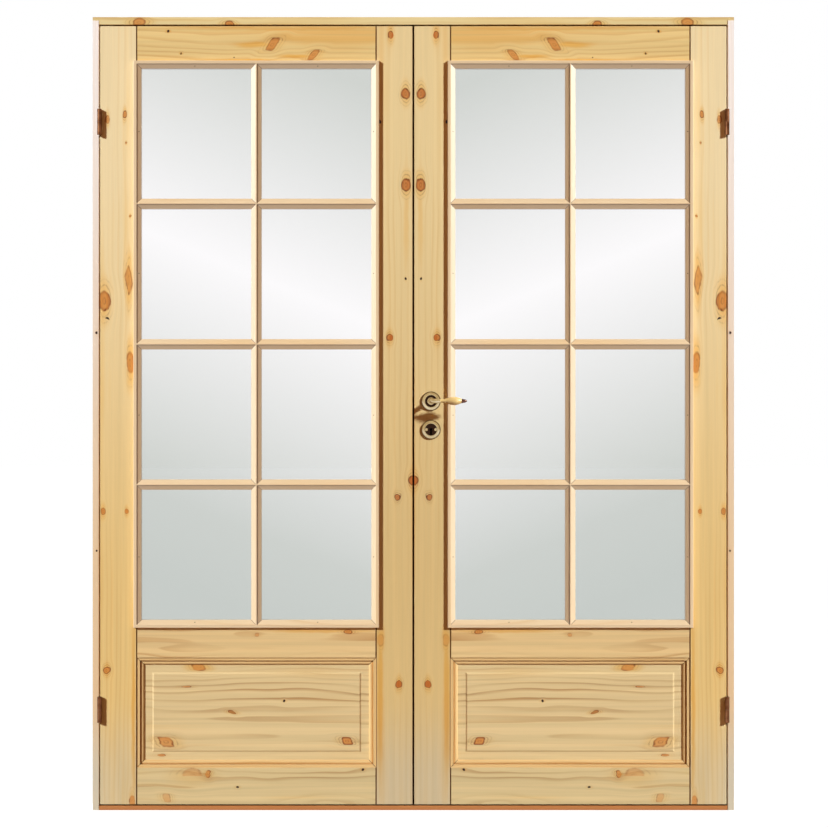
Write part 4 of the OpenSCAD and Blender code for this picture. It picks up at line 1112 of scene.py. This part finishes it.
@dataclass
class Studio:
    """Floor, world, lamps and camera."""

    ambient: Colour = (0.25, 0.108, 0.042)
    key: Colour = (0.735, 0.88, 0.95)
    front_gloss: Colour = (0.78, 0.66, 0.45)
    fill: Colour = (1.0, 0.93, 0.84)
    fill_level: float = 0.85
    fill_up: float = 0.4
    reveals: tuple[str, ...] = ("left_jamb", "right_jamb", "head", "threshold")
    unlit: tuple[str, ...] = ("front_rose", "back_rose", "front_key_escutcheon", "back_key_escutcheon")
    key_side: float = 1.28
    key_up: float = 0.79
    key_angle: float = math.radians(5)
    camera_at: tuple[float, float, float] = (0.0017, -6.32, 1.044)
    view_w: float = 2.182
    face_y: float = -0.020
    sensor: float = 36.0
    floor_half: float = 40.0
    floor_grey: Colour = (0.62, 0.62, 0.62)
    floor_seen: Colour = (0.865, 0.945, 0.985)

    def sun(self, name: str, towards: Vector, colour: Colour, level: float, lit: Iterable[bpy.types.Object]) -> None:
        """Adds one distant lamp that lights only some pieces.

        Args:
            name: the lamp's name.
            towards: the direction from the doors to the lamp.
            colour: its colour.
            level: its strength on a surface that faces it.
            lit: the pieces that it lights.
        """
        lamp = bpy.data.lights.new(name, "SUN")
        lamp.color = colour
        lamp.energy = math.pi * level
        lamp.angle = self.key_angle
        holder = bpy.data.objects.new(name, lamp)
        holder.rotation_euler = towards.to_track_quat("Z", "Y").to_euler()
        holder.location = towards * 4
        bpy.context.scene.collection.objects.link(holder)
        receivers = bpy.data.collections.new(f"{name}_lit")
        for piece in lit:
            receivers.objects.link(piece)
        holder.light_linking.receiver_collection = receivers

    def light(self) -> None:
        """Lights each half of the pair from its own outer side, front and back, and the reveals from inside."""
        pieces = [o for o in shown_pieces() if o.name not in self.unlit]
        right = [o for o in pieces if self.on_right(o)]
        left = [o for o in pieces if not self.on_right(o)]
        reveal = [o for o in pieces if o.name in self.reveals]
        for name, side, half in (("left_key", -1.0, left), ("right_key", 1.0, right)):
            for face, front in (("front", -1.0), ("back", 1.0)):
                towards = Vector((side * self.key_side, front, self.key_up))
                self.sun(f"{name}_{face}", towards, self.key, towards.length, half)
            inwards = Vector((-side, 0.0, self.fill_up))
            self.sun(f"{name}_reveal", inwards, self.fill, self.fill_level, reveal)

    @staticmethod
    def on_right(piece: bpy.types.Object) -> bool:
        """Tells whether a piece belongs to the right half of the pair."""
        bodies = body_of(piece) or []
        return piece.name == "right_jamb" or any(b in ("right_leaf", "lever", "latch", "dead_bolt") for b in bodies)

    def world(self) -> None:
        """Sets a white background over a warm, even ambient light."""
        world = bpy.data.worlds.new("studio")
        bpy.context.scene.world = world
        world.use_nodes = True
        world.node_tree.nodes.clear()
        graph = Graph(world.node_tree)
        path = graph.add("ShaderNodeLightPath").outputs
        seen = graph.math("MAXIMUM", path["Is Camera Ray"], path["Is Transmission Ray"])
        heading = graph.axes("Generated")
        gloss = graph.blend(graph.ease(heading["Y"], -0.35, 0.25), self.front_gloss, (1.0, 1.0, 1.0))
        colour = graph.blend(path["Is Glossy Ray"], self.ambient, gloss)
        colour = graph.blend(seen, colour, (1.0, 1.0, 1.0))
        back = graph.add("ShaderNodeBackground", {"Color": colour, "Strength": 1.0})
        graph.add("ShaderNodeOutputWorld", {"Surface": back.outputs[0]})

    def floor(self) -> None:
        """Lays a pale floor that shows white and keeps the doors' soft shadow."""
        half = self.floor_half
        mesh = bpy.data.meshes.new("floor")
        corners = [(-half, -half, 0), (half, -half, 0), (half, half, 0), (-half, half, 0)]
        mesh.from_pydata(corners, [], [(0, 1, 2, 3)])
        floor = bpy.data.objects.new("floor", mesh)
        bpy.context.scene.collection.objects.link(floor)
        material = bpy.data.materials.new("pale_floor")
        graph, surface = open_material(material)
        surface.inputs["Base Color"].default_value = opaque(self.floor_grey)
        surface.inputs["Roughness"].default_value = 0.9
        surface.inputs["Specular IOR Level"].default_value = 0.0
        path = graph.add("ShaderNodeLightPath").outputs
        seen = graph.math("MAXIMUM", path["Is Camera Ray"], path["Is Transmission Ray"])
        seen = graph.math("MAXIMUM", seen, path["Is Glossy Ray"])
        surface.inputs["Emission Color"].default_value = opaque(self.floor_seen)
        graph.feed(surface.inputs["Emission Strength"], seen)
        mesh.materials.append(material)
        floor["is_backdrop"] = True

    def camera(self) -> None:
        """Places the camera square to the doors, at the photograph's height and distance."""
        data = bpy.data.cameras.new("camera")
        data.sensor_width = self.sensor
        data.lens = self.sensor * (self.face_y - self.camera_at[1]) / self.view_w
        holder = bpy.data.objects.new("camera", data)
        holder.matrix_world = Matrix.Translation(self.camera_at) @ Matrix.Rotation(math.pi / 2, 4, "X")
        bpy.context.scene.collection.objects.link(holder)
        bpy.context.scene.camera = holder

    def build(self) -> None:
        """Sets up the whole studio."""
        bpy.context.scene.view_settings.view_transform = "Standard"
        self.world()
        self.floor()
        self.light()
        self.camera()


def main() -> None:
    """Dresses the doors and sets the studio."""
    logging.basicConfig(level=logging.INFO)
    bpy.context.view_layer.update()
    woods, metals = PineShop(), MetalShop()
    brad = metals.metal("blued_brad", MetalFinish(srgb(58, 46, 38), srgb(36, 28, 22), 0.35, 0.55))
    brass = metals.metal("satin_brass", MetalFinish(srgb(128, 84, 58), srgb(92, 54, 34), 0.30, 0.50))
    steel = metals.metal("zinc_steel", MetalFinish(srgb(176, 176, 172), srgb(140, 138, 132), 0.25, 0.45))
    seal = metals.rubber("black_seal")
    leaves = Leaves()
    glass = metals.glass("clear_glass", leaves.glass_painted_reflection, leaves.glass_middle, leaves.glass_lean)
    DoorFrame().dress(woods, brass, steel, seal)
    leaves.dress(woods, glass, brass, brad)
    Handle().dress(woods, metals, brass, steel, seal)
    Studio().build()


if __name__ == "__main__":
    main()
